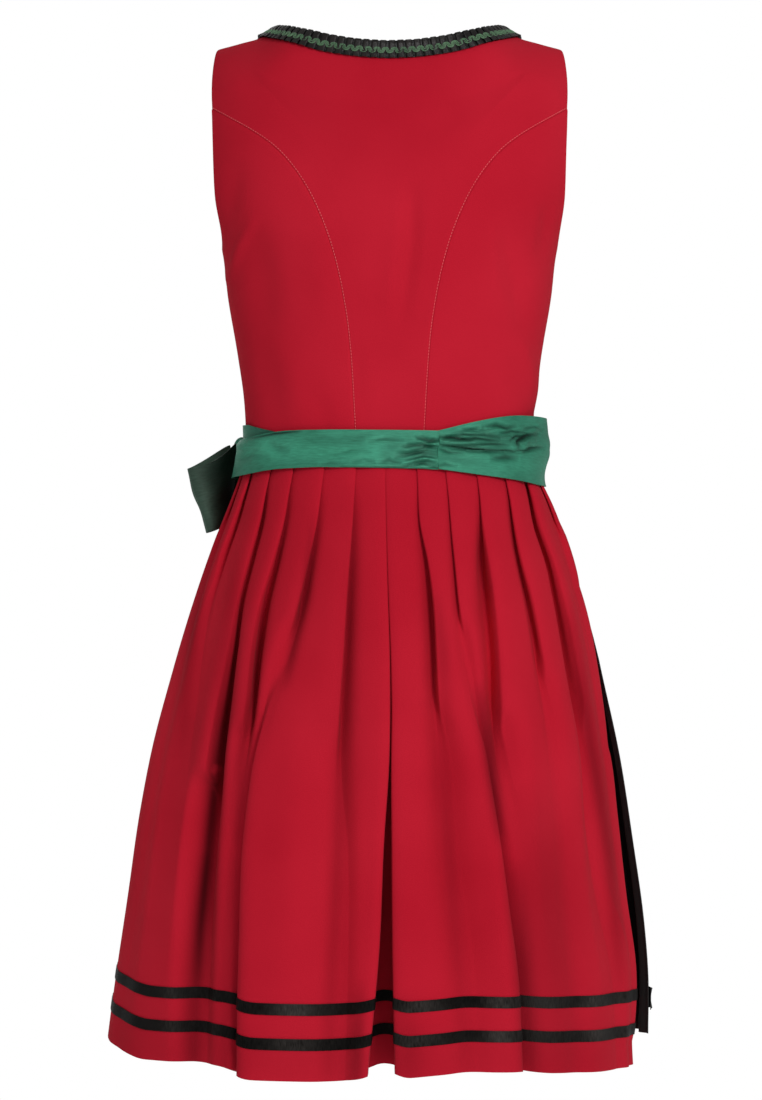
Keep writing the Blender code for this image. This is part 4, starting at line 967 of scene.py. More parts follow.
def seamed(grid):
    """A panel with close columns beside its side edges, and its distance from those edges."""
    sides = []
    for edge, beside in ((grid[:, 0], grid[:, 1]), (grid[:, -1], grid[:, -2])):
        way, room = unit(beside - edge), np.linalg.norm(beside - edge, axis=1)
        close = [edge + way * SEAM_GAP / 8]
        for share, distance in zip(SEAM_SHARES, SEAM_DISTANCES[1:]):
            close.append(edge + way * np.minimum(distance, share * room)[:, None])
        sides.append(close)
    left, right = np.stack(sides[0], axis=1), np.stack(sides[1][::-1], axis=1)
    grid = np.concatenate([left, grid[:, 1:-1], right], axis=1)
    along = lengths_across(grid)
    return grid, np.minimum(along, along[:, -1:] - along)


def make_bodice():
    """The bodice's panels, each lower at its seams, and the stitches beside the back seams."""
    paths = []
    for name, panel in bodice_grids().items():
        grid, distance = seamed(panel)
        normals = body_normal(grid)
        from_front = "front" in name
        flat = np.stack([grid[..., 0] + grid[..., 1], grid[..., 2]], axis=-1)
        lift = np.interp(distance, SEAM_DISTANCES, SEAM_HEIGHTS)
        lift = lift + relief(photo_place(grid, from_front), FRONT_CREASES if from_front else BACK_CREASES)
        calm = np.clip(distance / SEAM_CALM, 0.0, 1.0)
        lift = lift + BODICE_RIPPLE.height * calm * ripples(flat, BODICE_RIPPLE)
        outer = grid + normals * lift[..., None]
        grid_shell(name, outer, outer - normals * WALL, "red_wool")
        if name == "bodice_back":
            for edge in (STITCH_COLUMN, -1 - STITCH_COLUMN):
                paths.append((outer[:SEAM_ROWS, edge], normals[:SEAM_ROWS, edge]))
    stitches("bodice_stitching", paths, BODICE_STITCH, "red_thread")


# Stitches, in metres, and their form: places along one, how wide it is there, and how far it stands out
Stitch = namedtuple("Stitch", "pitch length radius")
BODICE_STITCH, SASH_STITCH = Stitch(0.0029, 0.0018, 0.00034), Stitch(0.0023, 0.0014, 0.0002)
STITCH_PROFILE = ((-0.5, 0.3), (-0.36, 0.9), (0.36, 0.9), (0.5, 0.3))
STITCH_STAND = 0.35


def stitches(name, paths, stitch, finish):
    """Rows of stitches that lie along paths of points and normals."""
    radius = stitch.radius
    turn = np.linspace(0.0, 2 * math.pi, 6, endpoint=False)[:, None]
    points, faces = [], []
    for path, normals in paths:
        count = max(2, int(along_line(path)[-1] / stitch.pitch))
        both = resample(np.concatenate([path, normals * 1e-6], axis=1), count * 4 + 1)
        for before, here, after in zip(both[1::4], both[2::4], both[3::4]):
            run = unit(after[:3] - before[:3])
            side = unit(np.cross(run, unit(here[3:])))
            up = np.cross(side, run)
            faces += tube(len(points), len(STITCH_PROFILE), len(turn))
            for at, wide in STITCH_PROFILE:
                centre = here[:3] + run * at * stitch.length + up * radius * STITCH_STAND
                points.extend(centre + (side * np.cos(turn) + up * np.sin(turn)) * radius * wide)
    new_piece(name, points, faces, np.array(points)[np.concatenate(faces)][:, [0, 2]], finish)


def fold_at(fold, z):
    """A fold at a height, with its lengths in metres."""
    keys = np.array(FOLD_HEIGHTS)[::-1]
    angle, *sizes = (float(smooth_read(z, keys, np.array(values, float)[::-1])) for values in fold)
    return [angle] + [size / 1000.0 for size in sizes]


# How far from a fold's corners their rounding starts, by its lap in metres
ROUND_LAPS, ROUND_REACHES = (-0.014, 0.002), (0.0140, 0.0026)
ARC = np.linspace(0.0, 1.0, 5)
ARC_LIMIT = 0.48
PANEL_SHARES = 0.5 - 0.5 * np.cos(math.pi * np.linspace(0.14, 0.86, 17))
CREST_SHARE, CREST_WIDTH = 0.30, 0.0045
# A lap below zero is a gap. From this wide on, both its sides are open
OPEN_LAP = 0.004


def fold_corners(edge, lap, step, hollow, width):
    """Four corners of a fold in the order of the cloth, and the heights before and after it by place."""
    if lap < 0:
        along = (lap / 2, lap / 6, -lap / 6, -lap / 2)
    elif step >= 0:
        along = (lap, lap, 0.0, 0.0)
    else:
        along = (0.0, 0.0, -lap, -lap)
    low_first = step >= 0
    openness = min(max(-lap / OPEN_LAP, 0.0), 1.0)

    def side(distance, is_low):
        form = np.exp(-(distance / width) ** 2)
        if is_low:
            return -abs(step) / 2 - hollow * form
        crest = CREST_SHARE * abs(step) * (1 - openness) * np.exp(-distance / CREST_WIDTH)
        return abs(step) / 2 - crest - hollow * openness * form

    near = abs(lap) / 2 if lap < 0 else 0.0
    first, last = float(side(near, low_first)), float(side(near, not low_first))
    if lap < 0:
        inner = [float(-hollow * math.exp(-(lap / 6 / width) ** 2) + sign * step / 6) for sign in (-1, 1)]
        heights = (first, inner[0], inner[1], last)
    else:
        heights = [first + (last - first) * share for share in (0.0, 1 / 3, 2 / 3, 1.0)]
    corners = [(edge + a, h) for a, h in zip(along, heights)]
    return corners, lambda s: side(np.maximum(edge - s, 0.0), low_first), \
        lambda s: side(np.maximum(s - edge, 0.0), not low_first)


def rounded(points, corners):
    """A line of points with some of them, given by number and reach, turned into arcs."""
    points = np.array(points)
    done = []
    for k, point in enumerate(points):
        if k not in corners:
            done.append(point[None])
            continue
        before, after = points[k - 1] - point, points[k + 1] - point
        sizes = [max(np.linalg.norm(leg), 1e-7) for leg in (before, after)]
        enter = point + before * min(corners[k] / sizes[0], ARC_LIMIT)
        leave = point + after * min(corners[k] / sizes[1], ARC_LIMIT)
        t = ARC[:, None]
        done.append((1 - t) ** 2 * enter + 2 * t * (1 - t) * point + t * t * leave)
    return np.concatenate(done)


def smooth_share(u):
    """A share that starts and ends gently."""
    return u * u * (3 - 2 * u)


# Degrees to both sides over which the hem's low edge is averaged, so that it has no corners
HEM_SOFTENING = (-1.8, -1.1, -0.4, 0.4, 1.1, 1.8)


def hem_drop(z, angles):
    """How far the points of a row of the skirt hang below it, most at the hem."""
    share = ((SKIRT_TOP_Z - z) / (SKIRT_TOP_Z - HEM_Z)) ** 2
    keys, drops = zip(*HEM_LINE)
    return share * sum(np.interp(angles + turn, keys, drops) for turn in HEM_SOFTENING) / len(HEM_SOFTENING)


# Metres that stand for a degree round the skirt, a distance at which a fold has ended, depth below the
# waist over which creases begin, and the width from which a hollow counts as the whole panel
DEGREE = 0.0035
FAR_FROM_FOLD = 0.05
CREASE_FADE = 0.08
WIDE_HOLLOW = 0.1


def width_row(z, panel):
    """Middle of the cloth of one skirt width at a height, in plan, and its signed angles."""
    ring = skirt_ring(z, panel.sign)
    first, last = float(ring.length_at(panel.start)), float(ring.length_at(panel.end))
    points, corners = [], {}
    where, height = first, None
    blend = smooth_share(PANEL_SHARES)
    for fold in panel.folds:
        angle, lap, step, hollow, width = fold_at(fold, z)
        edge = float(ring.length_at(angle))
        turns, before, after = fold_corners(edge, lap, step, hollow, width)
        s = where + (turns[0][0] - where) * PANEL_SHARES
        if height is None:
            rise = SIDE_SEAM_RISE + (before(s) - SIDE_SEAM_RISE) * blend
            if hollow and width > WIDE_HOLLOW:
                rise = np.full(len(s), turns[0][1])
            points.append((where, rise[0] if width > WIDE_HOLLOW else SIDE_SEAM_RISE))
        else:
            rise = height(s) * (1 - blend) + before(s) * blend
        points += list(zip(s, rise))
        for turn in turns:
            corners[len(points)] = float(np.interp(lap, ROUND_LAPS, ROUND_REACHES))
            points.append(turn)
        where, height = turns[3][0], after
    s = where + (last - where) * PANEL_SHARES
    at_end = SIDE_SEAM_RISE if panel.end == SIDE_SEAM_ANGLE else float(after(np.array(FAR_FROM_FOLD)))
    points += list(zip(s, height(s) * (1 - blend) + at_end * blend))
    points.append((last, at_end))
    line = rounded(points, corners)
    angles = ring.angle_at(line[:, 0]) * panel.sign
    scale = np.array([DEGREE, 1.0])
    places = np.stack([angles, np.full(len(angles), z)], axis=1) * scale
    scaled = [crease._replace(path=crease.path * scale) for crease in SKIRT_CREASES]
    fade = np.clip((WAIST_Z - z) / CREASE_FADE, 0.0, 1.0)
    rise = line[:, 1] + relief(places, scaled) * fade
    rise = rise + SKIRT_RIPPLE.height * fade * ripples(places, SKIRT_RIPPLE)
    plan = ring.place(line[:, 0], rise)
    return plan * np.array([panel.sign, 1.0]), angles


# Least cosine at a corner of a line that is moved sideways, which keeps its mitre short
MITRE_LIMIT = 0.6


def offset_line(plan, distance):
    """A plan line moved sideways, with its corners mitred."""
    side = left_of(unit(np.diff(plan, axis=0)))
    before, after = np.concatenate([side[:1], side]), np.concatenate([side, side[-1:]])
    middle = unit(before + after)
    stretch = 1.0 / np.maximum((middle * before).sum(axis=1), MITRE_LIMIT)
    return plan + middle * (stretch * distance)[:, None]


def front_folds():
    """Folds of a front width, between the side seam and centre front."""
    folds = []
    for k in range(FRONT_FOLD_COUNT):
        angle = SIDE_SEAM_ANGLE + (180.0 - SIDE_SEAM_ANGLE) * (k + FRONT_FOLD_START) / FRONT_FOLD_COUNT
        folds.append(Fold((angle,) * 10, FRONT_LAPS, FRONT_STEPS, FRONT_HOLLOWS, FRONT_WIDTHS))
    return tuple(folds)


def width_grids(rows, panel, stands):
    """Grids of one skirt width at some heights, at several distances from the middle of its cloth."""
    grids = [[] for _ in stands]
    for z in rows:
        plan, angles = width_row(z, panel)
        drop = hem_drop(z, angles)
        for grid, stand in zip(grids, stands):
            grid.append(at_height(offset_line(plan, stand * panel.sign), z - drop))
    return [np.array(grid) for grid in grids]


# How far a hem ribbon lies off the skirt, and how thick it is
RIBBON_LAY, RIBBON_THICKNESS = 0.00025, 0.0006


def make_skirt():
    """The four widths of the skirt, from centre back to the side and from the side to centre front."""
    panels = table(
        "name folds start end sign",
        ("back_left", LEFT_BACK_FOLDS, 0.0, SIDE_SEAM_ANGLE, 1),
        ("back_right", RIGHT_BACK_FOLDS, 0.0, SIDE_SEAM_ANGLE, -1),
        ("front_left", front_folds(), SIDE_SEAM_ANGLE, 180.0, 1),
        ("front_right", front_folds(), SIDE_SEAM_ANGLE, 180.0, -1),
    )
    half = PLEAT_WALL / 2
    low = half + RIBBON_LAY
    rows = np.linspace(SKIRT_TOP_Z, HEM_Z, SKIRT_ROW_COUNT)
    for panel in panels:
        outer, inner = width_grids(rows, panel, (half, -half))
        piece = grid_shell("skirt_" + panel.name, outer, inner, "red_wool")
        # Painted shade and painted highlights on the back widths' folds
        if "back" in panel.name:
            shade(piece, relief(photo_place(outer), SKIRT_PAINTED_SHADING, gloom=True))
        for level, rise in RIBBON_RISES:
            lines = HEM_Z + rise + np.linspace(1.0, -1.0, 5) * RIBBON_WIDTH / 2
            outer, inner = width_grids(lines, panel, (low + RIBBON_THICKNESS, low))
            ribbon = grid_shell(f"hem_ribbon_{level}_{panel.name}", outer, inner, "black_satin")
            # Painted highlights on the ribbons where they catch the light
            shade(ribbon, relief(photo_place(outer, "front" in panel.name), RIBBON_GLINTS, gloom=True))


def apron_relief(share):
    """Half the depth of the apron's gathers at a share of the way down."""
    return APRON_RELIEF_TOP + (APRON_RELIEF_HEM - APRON_RELIEF_TOP) * share


def apron_span(z):
    """The apron's ring at a height, and the lengths along it of the apron's left and right edges."""
    ring = apron_ring(z)
    right = np.interp(z, APRON_EDGE_HEIGHTS, APRON_EDGE_ANGLES)
    return ring, float(ring.length_at(APRON_LEFT_ANGLE)), float(ring.length_at(right))


def make_apron():
    """The apron, gathered to its waist, and the gathered ribbon above its hem. The waves' odd numbers only
    keep them from being regular, here and on the neck ribbon, the knot and the loops."""
    top, hem = APRON[0].z, APRON[-1].z
    rows = []
    along = np.linspace(0.0, 1.0, GATHER_POINTS * APRON_GATHERS + 1)
    phase = 2 * math.pi * along * APRON_GATHERS + 1.3 * np.sin(7.0 * along)
    for z in np.linspace(top, hem, APRON_ROWS):
        share = (top - z) / (top - hem)
        ring, first, last = apron_span(z)
        wander = 0.5 * np.sin(3.1 * share + 11.0 * along) * share
        swell = 1.0 - APRON_UNEVEN + APRON_UNEVEN * np.sin(17.0 * along + 2.0 * share)
        wave = (np.sin(phase + wander) + 0.22 * np.sin(2 * phase + 1.0 + wander)) * swell
        plan = ring.place(first + (last - first) * along, wave * apron_relief(share) * APRON_FULLNESS)
        rows.append(at_height(plan, z))
    sheet_shell("apron", np.array(rows), 0.0, WALL * THIN_SHARE, "black_cotton")

    rows = []
    along = np.linspace(0.0, 1.0, RUCHE_POINTS * APRON_RUCHES + 1)
    beat = (along * APRON_RUCHES + 0.12 * np.sin(23.0 * along)) % 1.0
    pleat = np.exp(-((beat - 0.5) / 0.2) ** 2)
    for across in np.linspace(0.0, 1.0, RIBBON_ROWS):
        z = hem + APRON_RUCHE_RISE + APRON_RUCHE_HEIGHT * across
        ring, first, last = apron_span(z)
        pinch = 0.35 + 0.65 * abs(2 * across - 1.0) ** 1.5
        stand = RUCHE_SEAT * apron_relief((top - z) / (top - hem)) + WALL / 2 + RUCHE_STAND
        stand = stand + RUCHE_PLEAT * pleat * pinch
        lift = RUCHE_SWAY * (across - 0.5) * np.cos(2 * math.pi * beat)
        rows.append(at_height(ring.place(first + (last - first) * along, stand), z + lift))
    sheet_shell("apron_ruching", np.array(rows), 0.0, RUCHE_THICKNESS, "black_satin")


def waist_grid(angle, z, stand):
    """Points round the waist, moved out by stand: over the bodice above it, over the skirt below it."""
    side, back, front = columns(BODY, "side back front", z)
    over = round_plan(angle, (side, side, back, front), (BODY_SQUARE + SKIRT_SQUARE) / 2, stand + SASH_EASE)
    under = round_plan(angle, columns(SKIRT, "left right back front", z), SKIRT_SQUARE, stand)
    blend = np.clip((z - WAIST_Z) / WAIST_BLEND + 0.5, 0.0, 1.0)[..., None]
    return np.concatenate([over * blend + under * (1 - blend), z[..., None]], axis=-1)


def sash_middle(stations, wide, rows):
    """Grid through the middle of a stretch of sash, from its bottom edge up to its top edge."""
    angles = np.array([row.angle for row in stations])
    ring = skirt_ring(WAIST_Z)
    gap = SASH_GAP_SHARE * SEAM_GAP
    at = ring.angle_at(np.linspace(ring.length_at(angles[0]) + gap, ring.length_at(angles[-1]) - gap, wide))
    stations = [row._replace(low_stand=row.low_stand or row.stand) for row in stations]
    read = [smooth_read(at, angles, np.array(values)) for values in list(zip(*stations))[1:]]
    top, bottom, stand, top_stand, low_stand = read
    share = np.linspace(0.0, 1.0, rows)[:, None]
    z = bottom + (top - bottom) * share
    lean_z = WAIST_Z + SASH_LEAN_RISE
    out = stand + (top_stand - stand) * np.clip((z - lean_z) / (top - lean_z), 0.0, 1.0)
    out = low_stand + (out - low_stand) * smooth_share(np.clip(share / SASH_BELLY, 0.0, 1.0))
    return waist_grid(np.broadcast_to(at, z.shape), z, out)


def make_sash():
    """The sash's three stretches, one row of its stitches, and its under layer."""
    stretches = table(
        "name stations wide rows creases from_front",
        ("sash_band_back", SASH_BAND, 260, 45, BAND_CREASES, False),
        ("sash_tie_right", SASH_RIGHT, 190, 69, RIGHT_TIE_CREASES, False),
        ("sash_tie_front", SASH_FRONT, 180, 39, FRONT_TIE_CREASES, True),
    )
    for name, stations, wide, rows, creased, from_front in stretches:
        middle = sash_middle(stations, wide, rows)
        share = np.linspace(0.0, 1.0, rows)[:, None]
        places = photo_place(middle, from_front)
        flat = np.stack([middle[..., 0] - middle[..., 1], middle[..., 2] * SASH_GRAIN], axis=-1)
        uneven = SASH_RIPPLE.height * ripples(flat, SASH_RIPPLE) * np.sin(math.pi * share) ** 0.5
        lift = relief(places, creased) + uneven
        piece, outer, normals = sheet_shell(name, middle, lift, WALL * SASH_SHARE, "green_taffeta")
        # Painted shade in the creases' troughs and under their lips, and their painted tones
        shade(piece, relief(places, creased, gloom=True))
        if name == "sash_band_back":
            row, sewn = SASH_STITCH_ROW, slice(*SASH_STITCH_COLUMNS)
            stitches("sash_stitching", [(outer[row, sewn], normals[row, sewn])], SASH_STITCH, "green_taffeta")
    keys, tops, shades = zip(*UNDER_LAYER)
    angles = np.linspace(keys[0], keys[-1], 70)
    top = np.interp(angles, keys, tops)
    z = UNDER_LAYER_BOTTOM + (top - UNDER_LAYER_BOTTOM) * np.linspace(0.0, 1.0, 13)[:, None]
    angles = np.broadcast_to(angles, z.shape)
    middle = waist_grid(angles, z, np.full(z.shape, UNDER_LAYER_STAND))
    lift = UNDER_RIPPLE.height * ripples(middle[..., [0, 2]], UNDER_RIPPLE)
    piece = sheet_shell("sash_under_layer", middle, lift, UNDER_LAYER_THICKNESS, "green_taffeta")[0]
    # Painted shade on the under layer
    shade(piece, np.interp(angles, keys, shades))


def shade(piece, shares):
    """Painted shade on a shell's cloth, as how much darker it is, and painted highlights as lighter below
    zero, at the points of both of its grids.
    """
    layer = piece.data.attributes.new("shade", "FLOAT", "POINT")
    layer.data.foreach_set("value", np.concatenate([shares.ravel()] * 2).astype(np.float32))


def knot_frame():
    """Middle of the knot, and the direction outward from the waist there."""
    ring = skirt_ring(BOW_Z)
    length = np.array([float(ring.length_at(BOW_ANGLE))])
    here = ring.place(length, np.array([KNOT_STAND]))[0]
    there = ring.place(length, np.array([KNOT_STAND + 0.01]))[0]
    return np.array([here[0], here[1], BOW_Z]), unit(there - here)


def make_knot():
    """The knot: a pad of cloth drawn together, with folds that run down round it."""
    centre, out = knot_frame()
    turn = math.atan2(out[1], out[0]) - math.pi / 2
    tall, wide = 41, 72
    pole = math.pi / 2 - 0.02
    up = np.linspace(-pole, pole, tall)[:, None]
    turns = np.linspace(0.0, 2 * math.pi, wide, endpoint=False)[None]
    level = np.cos(up)
    ball = np.stack([level * np.cos(turns), level * np.sin(turns), np.sin(up) + 0 * turns], axis=-1)
    folds = np.sin(9 * turns + 2.2 * np.sin(up * 1.3)) + 0.5 * np.sin(5 * turns - 3 * up + 1.0)
    waist = (1.0 - KNOT_WAIST * level ** 2)[..., None]
    full = bent(ball, KNOT_FULLNESS) / 2 * (1.0 + KNOT_FOLD * folds * level ** 0.5)[..., None] * waist
    full = np.clip(full, -0.5, 0.5) * np.array(KNOT_SIZE)
    x = full[..., 0] * math.cos(turn) - full[..., 1] * math.sin(turn)
    y = full[..., 0] * math.sin(turn) + full[..., 1] * math.cos(turn)
    points = (np.stack([x, y, full[..., 2]], axis=-1) + centre).reshape(-1, 3)
    faces = tube(0, tall, wide)
    corner = points[np.concatenate(faces)]
    piece = new_piece("bow_knot", points, faces, corner[:, [0, 2]] + corner[:, [1, 1]], "green_taffeta")
    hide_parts("bow_knot")


def loop_middle(loop, stations, wide):
    """A loop of the bow: out from the knot along one side, round its end and back."""
    centre, _ = knot_frame()
    end, edge = np.array(loop.end), unit(np.array(loop.edge))
    start = centre + unit(end - centre) * loop.throat_out
    axis = end - start
    opening = unit(np.cross(axis, edge)) * loop.side
    share = np.linspace(0.0, 1.0, stations)
    reach, turn = np.sin(math.pi * share), np.cos(math.pi * share)
    bulge = turn * np.sin(math.pi * np.minimum(share, 1 - share)) ** LOOP_ROUNDNESS
    width = LOOP_THROAT + (LOOP_WIDTH - LOOP_THROAT) * reach ** LOOP_FLARE
    half_open = LOOP_THROAT_OPENING / 2 * turn + LOOP_OPENING / 2 * bulge
    down = unit(np.outer(1 - reach, [0.0, 0.0, -1.0]) + np.outer(reach, edge))
    spine = start + np.outer(reach, axis) + np.outer(half_open, opening)
    across = np.linspace(-0.5, 0.5, wide)[:, None]
    grid = spine[None] + across[..., None] * (down * width[:, None])[None]
    pleats = np.cos(across * 4.6 * math.pi + 0.7 + 1.4 * share)
    sag = np.cos(across * 2.1 * math.pi + 2.0 * share)
    lift = LOOP_PLEAT * pleats * (1 - reach) ** 0.5 * reach ** 0.2 + LOOP_SAG * sag * reach
    low_hang = (1 - reach) * np.minimum(reach / LOOP_HANG_REACH, 1.0)
    top_droop = np.interp(turn, (-LOOP_BLEND, LOOP_BLEND), LOOP_TOP_DROOPS[::-1])
    top_hang = 4 * reach * (1 - reach) * (0.5 - across)
    grid[..., 2] -= LOOP_DROOP * (across + 0.5) * low_hang + top_droop * top_hang
    return grid, lift


# Painted shade on a loop's near layer by its reach from the knot, and on its far layer, which is lighter, as
# a painted highlight
LOOP_SHADE_REACHES, LOOP_SHADES = (0.35, 0.65, 0.98), (0.66, 0.50, 0.0)
FAR_LOOP_SHADE = -0.6
# Points along and across a loop and a tail
LOOP_GRID, TAIL_GRID = (97, 25), (61, 25)


def make_bow():
    """The knot, its two loops, and the two tails that hang below it."""
    make_knot()
    for loop in LOOPS:
        grid, lift = loop_middle(loop, *LOOP_GRID)
        moved = grid + grid_normal(grid) * lift[..., None]
        half = grid_normal(moved) * WALL * (THIN_SHARE / 2)
        piece = grid_shell(loop.name, moved + half, moved - half, loop.finish)
        # Painted shade on the loop's near layer, strongest near the knot, and a painted highlight on its far
        # layer
        share = np.linspace(0.0, 1.0, grid.shape[1])
        near = np.interp(np.sin(math.pi * share), LOOP_SHADE_REACHES, LOOP_SHADES)
        gloom = loop.gloom * np.where(share < 0.5, near, FAR_LOOP_SHADE)
        shade(piece, np.broadcast_to(gloom, grid.shape[:2]))
    across = np.linspace(-0.5, 0.5, TAIL_GRID[1])
    for tail in TAILS:
        rows = []
        for share in np.linspace(0.0, 1.0, TAIL_GRID[0]):
            z = BOW_Z - KNOT_SIZE[2] / 2 - BOW_GAP - tail.length * share
            ring = apron_ring(z)
            angle = tail.angle_top + (tail.angle_end - tail.angle_top) * share
            spread = min(share / TAIL_SPREAD_SHARE, 1.0)
            width = TAIL_WIDTH * (TAIL_TOP_SHARE + (1 - TAIL_TOP_SHARE) * spread)
            stand = tail.stand + TAIL_TOP_STAND * max(1 - share / TAIL_TOP_REACH, 0.0)
            stand = stand + TAIL_RIPPLE * np.cos(3 * math.pi * across + 1.2 * share)
            stand = stand + TAIL_FOLD * (1 - spread) * np.cos(5.2 * math.pi * across)
            plan = ring.place(float(ring.length_at(angle)) + across * width, stand)
            rows.append(at_height(plan, z + across * TAIL_SLANT * share))
        sheet_shell(tail.name, np.array(rows), 0.0, WALL * THIN_SHARE, "green_taffeta")


def neck_edge(count):
    """The neck edge, once round, and the directions from it onto the bodice."""
    back, front = neckline_back(400), neckline_front(600)
    loop = np.concatenate([back, (front * MIRROR)[::-1][1:], front[1:]])
    rough = on_body(resample(loop, 4 * count))
    edge = on_body(resample(rough, count + 1)[:-1])
    run = unit(np.roll(edge, -1, axis=0) - np.roll(edge, 1, axis=0))
    inward = unit(np.cross(run, body_normal(edge)))
    inward = inward * np.sign((inward * (edge - np.array([0.0, 0.0, 0.10]))).sum(axis=1).mean())
    return edge, inward


def from_edge(edge, inward, offset, stand):
    """Points at offsets in from the neck edge and stands over the bodice, and the normals there."""
    line = edge
    for _ in range(4):
        line = on_body(line + inward * (np.asarray(offset) / 4)[..., None])
    normals = body_normal(line)
    return line + normals * np.asarray(stand)[..., None], normals


# One box pleat of the neck ribbon: where it goes along its pitch, and how far it stands up
PLEAT = table(
    "along rise",
    (0, 0), (0.12, 0), (0.2, 0.05), (0.2, 0.45), (0.13, 0.8), (0.17, 0.97), (0.3, 1.04), (0.48, 1),
    (0.66, 1.04), (0.8, 0.97), (0.84, 0.8), (0.78, 0.45), (0.78, 0.05), (0.88, 0),
)
# Points of the neck edge for each pleat, the painted shade in the gaps between pleats and the rise below
# which it lies, and lengths in metres
NECK_SPAN = 12
PLEAT_SHADE, PLEAT_TOP = 0.9, 0.9
NECK_LAY, NECK_HALF_THICKNESS, NECK_SPREAD = 0.0003, 0.0002, 0.0006
NECK_FLARE_SHARES, NECK_FLARES = (0.0, 0.15, 0.5, 0.85, 1.0), (0.0008, 0.0015, 0.0013, 0.0018, 0.0019)


def make_neck_trim():
    """The pleated ribbon round the neck, and the gimp braid on it."""
    edge, inward = neck_edge(NECK_PLEATS * NECK_SPAN)
    pleat = np.arange(NECK_PLEATS)[:, None]
    beats, rises = (np.array(values) for values in zip(*PLEAT))
    wander = 0.05 * np.sin(pleat * 0.9) + 0.04 * np.sin(pleat * 2.3)
    at = (pleat + beats + wander * np.sin(math.pi * beats)).ravel() * NECK_SPAN
    here, way = along_neck(edge, inward, at)
    lean = (1.0 + 0.18 * np.sin(pleat * 1.7)) * (1.0 + 0.12 * (beats - 0.5))
    rise = (rises * lean).ravel()
    rows = []
    for across in np.linspace(0.0, 1.0, RIBBON_ROWS):
        offset = NECK_EDGE_INSET + (NECK_RIBBON_WIDTH - NECK_EDGE_INSET) * across
        flare = np.interp(across, NECK_FLARE_SHARES, NECK_FLARES)
        offset = offset + NECK_SPREAD * (across - 0.4) * rise
        rows.append(from_edge(here, way, offset, NECK_STAND + NECK_LAY + flare * rise)[0])
    grid = np.array(rows)
    normals = grid_normal(grid, closed=True)
    half = normals * np.sign((normals * body_normal(grid)).sum()) * NECK_HALF_THICKNESS
    piece = grid_shell("neck_ruching", grid + half, grid - half, "pleated_satin", closed=True)
    # Painted shade in the gaps between pleats
    gap_painted_shade = np.tile(PLEAT_SHADE * (rises < PLEAT_TOP), NECK_PLEATS)
    shade(piece, np.broadcast_to(gap_painted_shade, grid.shape[:2]))
    make_gimp(edge, inward)


def along_neck(edge, inward, at):
    """Places and inward directions between the points of the neck edge."""
    near = np.floor(at).astype(int)
    part = (at - near)[:, None]
    count = len(edge)
    here = edge[near % count] * (1 - part) + edge[(near + 1) % count] * part
    way = inward[near % count] * (1 - part) + inward[(near + 1) % count] * part
    return here, unit(way)


# The braid, in metres: its cords' places side by side, the line they swing about, how far they swing and
# reach over, their radius, and how high they lie
GIMP_SHIFTS = (-0.00105, 0.0, 0.00105)
GIMP_LOW = 0.0017
GIMP_OFFSET = NECK_RIBBON_WIDTH / 2 + GIMP_LOW
GIMP_SWING, GIMP_OVERHANG, GIMP_RADIUS = 0.0017, -0.0006, 0.00036
GIMP_LIFT, GIMP_WEAVE = 0.0027, 0.00025


def make_gimp(edge, inward):
    """The gimp braid: three cords side by side that swing over and back, once for each pleat."""
    steps, sides = 16, 6
    count = NECK_PLEATS * steps
    pitch = np.linalg.norm(np.roll(edge, -1, axis=0) - edge, axis=1).sum() / NECK_PLEATS
    phase = 2 * math.pi * np.arange(count) / steps
    forward = pitch / (2 * math.pi) + 2 * GIMP_OVERHANG * np.cos(2 * phase)
    run = unit(np.stack([forward, GIMP_SWING * np.cos(phase)], axis=1))
    j, k = (part.ravel() for part in np.meshgrid(np.arange(sides), np.arange(count), indexing="ij"))
    this, after = j * count, (j + 1) % sides * count
    quads = np.stack([this + k, this + (k + 1) % count, after + (k + 1) % count, after + k], axis=1)
    points, faces, places = [], [], []
    for cord, shift in enumerate(GIMP_SHIFTS):
        across = GIMP_SWING * np.sin(phase) + shift * run[:, 0]
        along = GIMP_OVERHANG * np.sin(2 * phase) - shift * run[:, 1]
        here, way = along_neck(edge, inward, (np.arange(count) / steps + along / pitch) * NECK_SPAN)
        lift = GIMP_LIFT + GIMP_WEAVE * np.cos(phase + 2 * cord)
        path, normals = from_edge(here, way, GIMP_OFFSET + across, lift)
        way = unit(np.roll(path, -1, axis=0) - np.roll(path, 1, axis=0))
        side = unit(np.cross(way, normals))
        faces.append(quads + sides * count * cord)
        for turn in 2 * math.pi * np.arange(sides) / sides:
            points.append(path + (side * np.cos(turn) + np.cross(side, way) * np.sin(turn)) * GIMP_RADIUS)
        length = along_line(path)[k]
        far = length + GIMP_RADIUS
        places.append(np.stack([length, j, far, j, far, j + 1, length, j + 1], axis=1).reshape(-1, 2))
    places = np.concatenate(places) * np.array([1.0, 2 * math.pi * GIMP_RADIUS / sides])
    faces = np.concatenate(faces).tolist()
    piece = new_piece("neck_gimp", np.concatenate(points), faces, places, "green_gimp")
    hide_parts("neck_gimp")


# What each piece was cut to, in metres, with its area where it isn't a rectangle
Cut = namedtuple("Cut", "width length area held rests_on")
SKIRT_CUTS = table(
    "name width length area hem_width hangs_from",
    ("back_left", 0.502, 0.578, 0.239, 0.465, "bodice_back"),
    ("back_right", 0.488, 0.582, 0.229, 0.439, "bodice_back"),
    ("front_left", 0.352, 0.567, 0.18, 0.35, "bodice_front_left"),
    ("front_right", 0.324, 0.576, 0.174, 0.323, "bodice_front_right"),
)


def declare(name):
    """Puts a piece in the place of its node."""
    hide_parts(name)


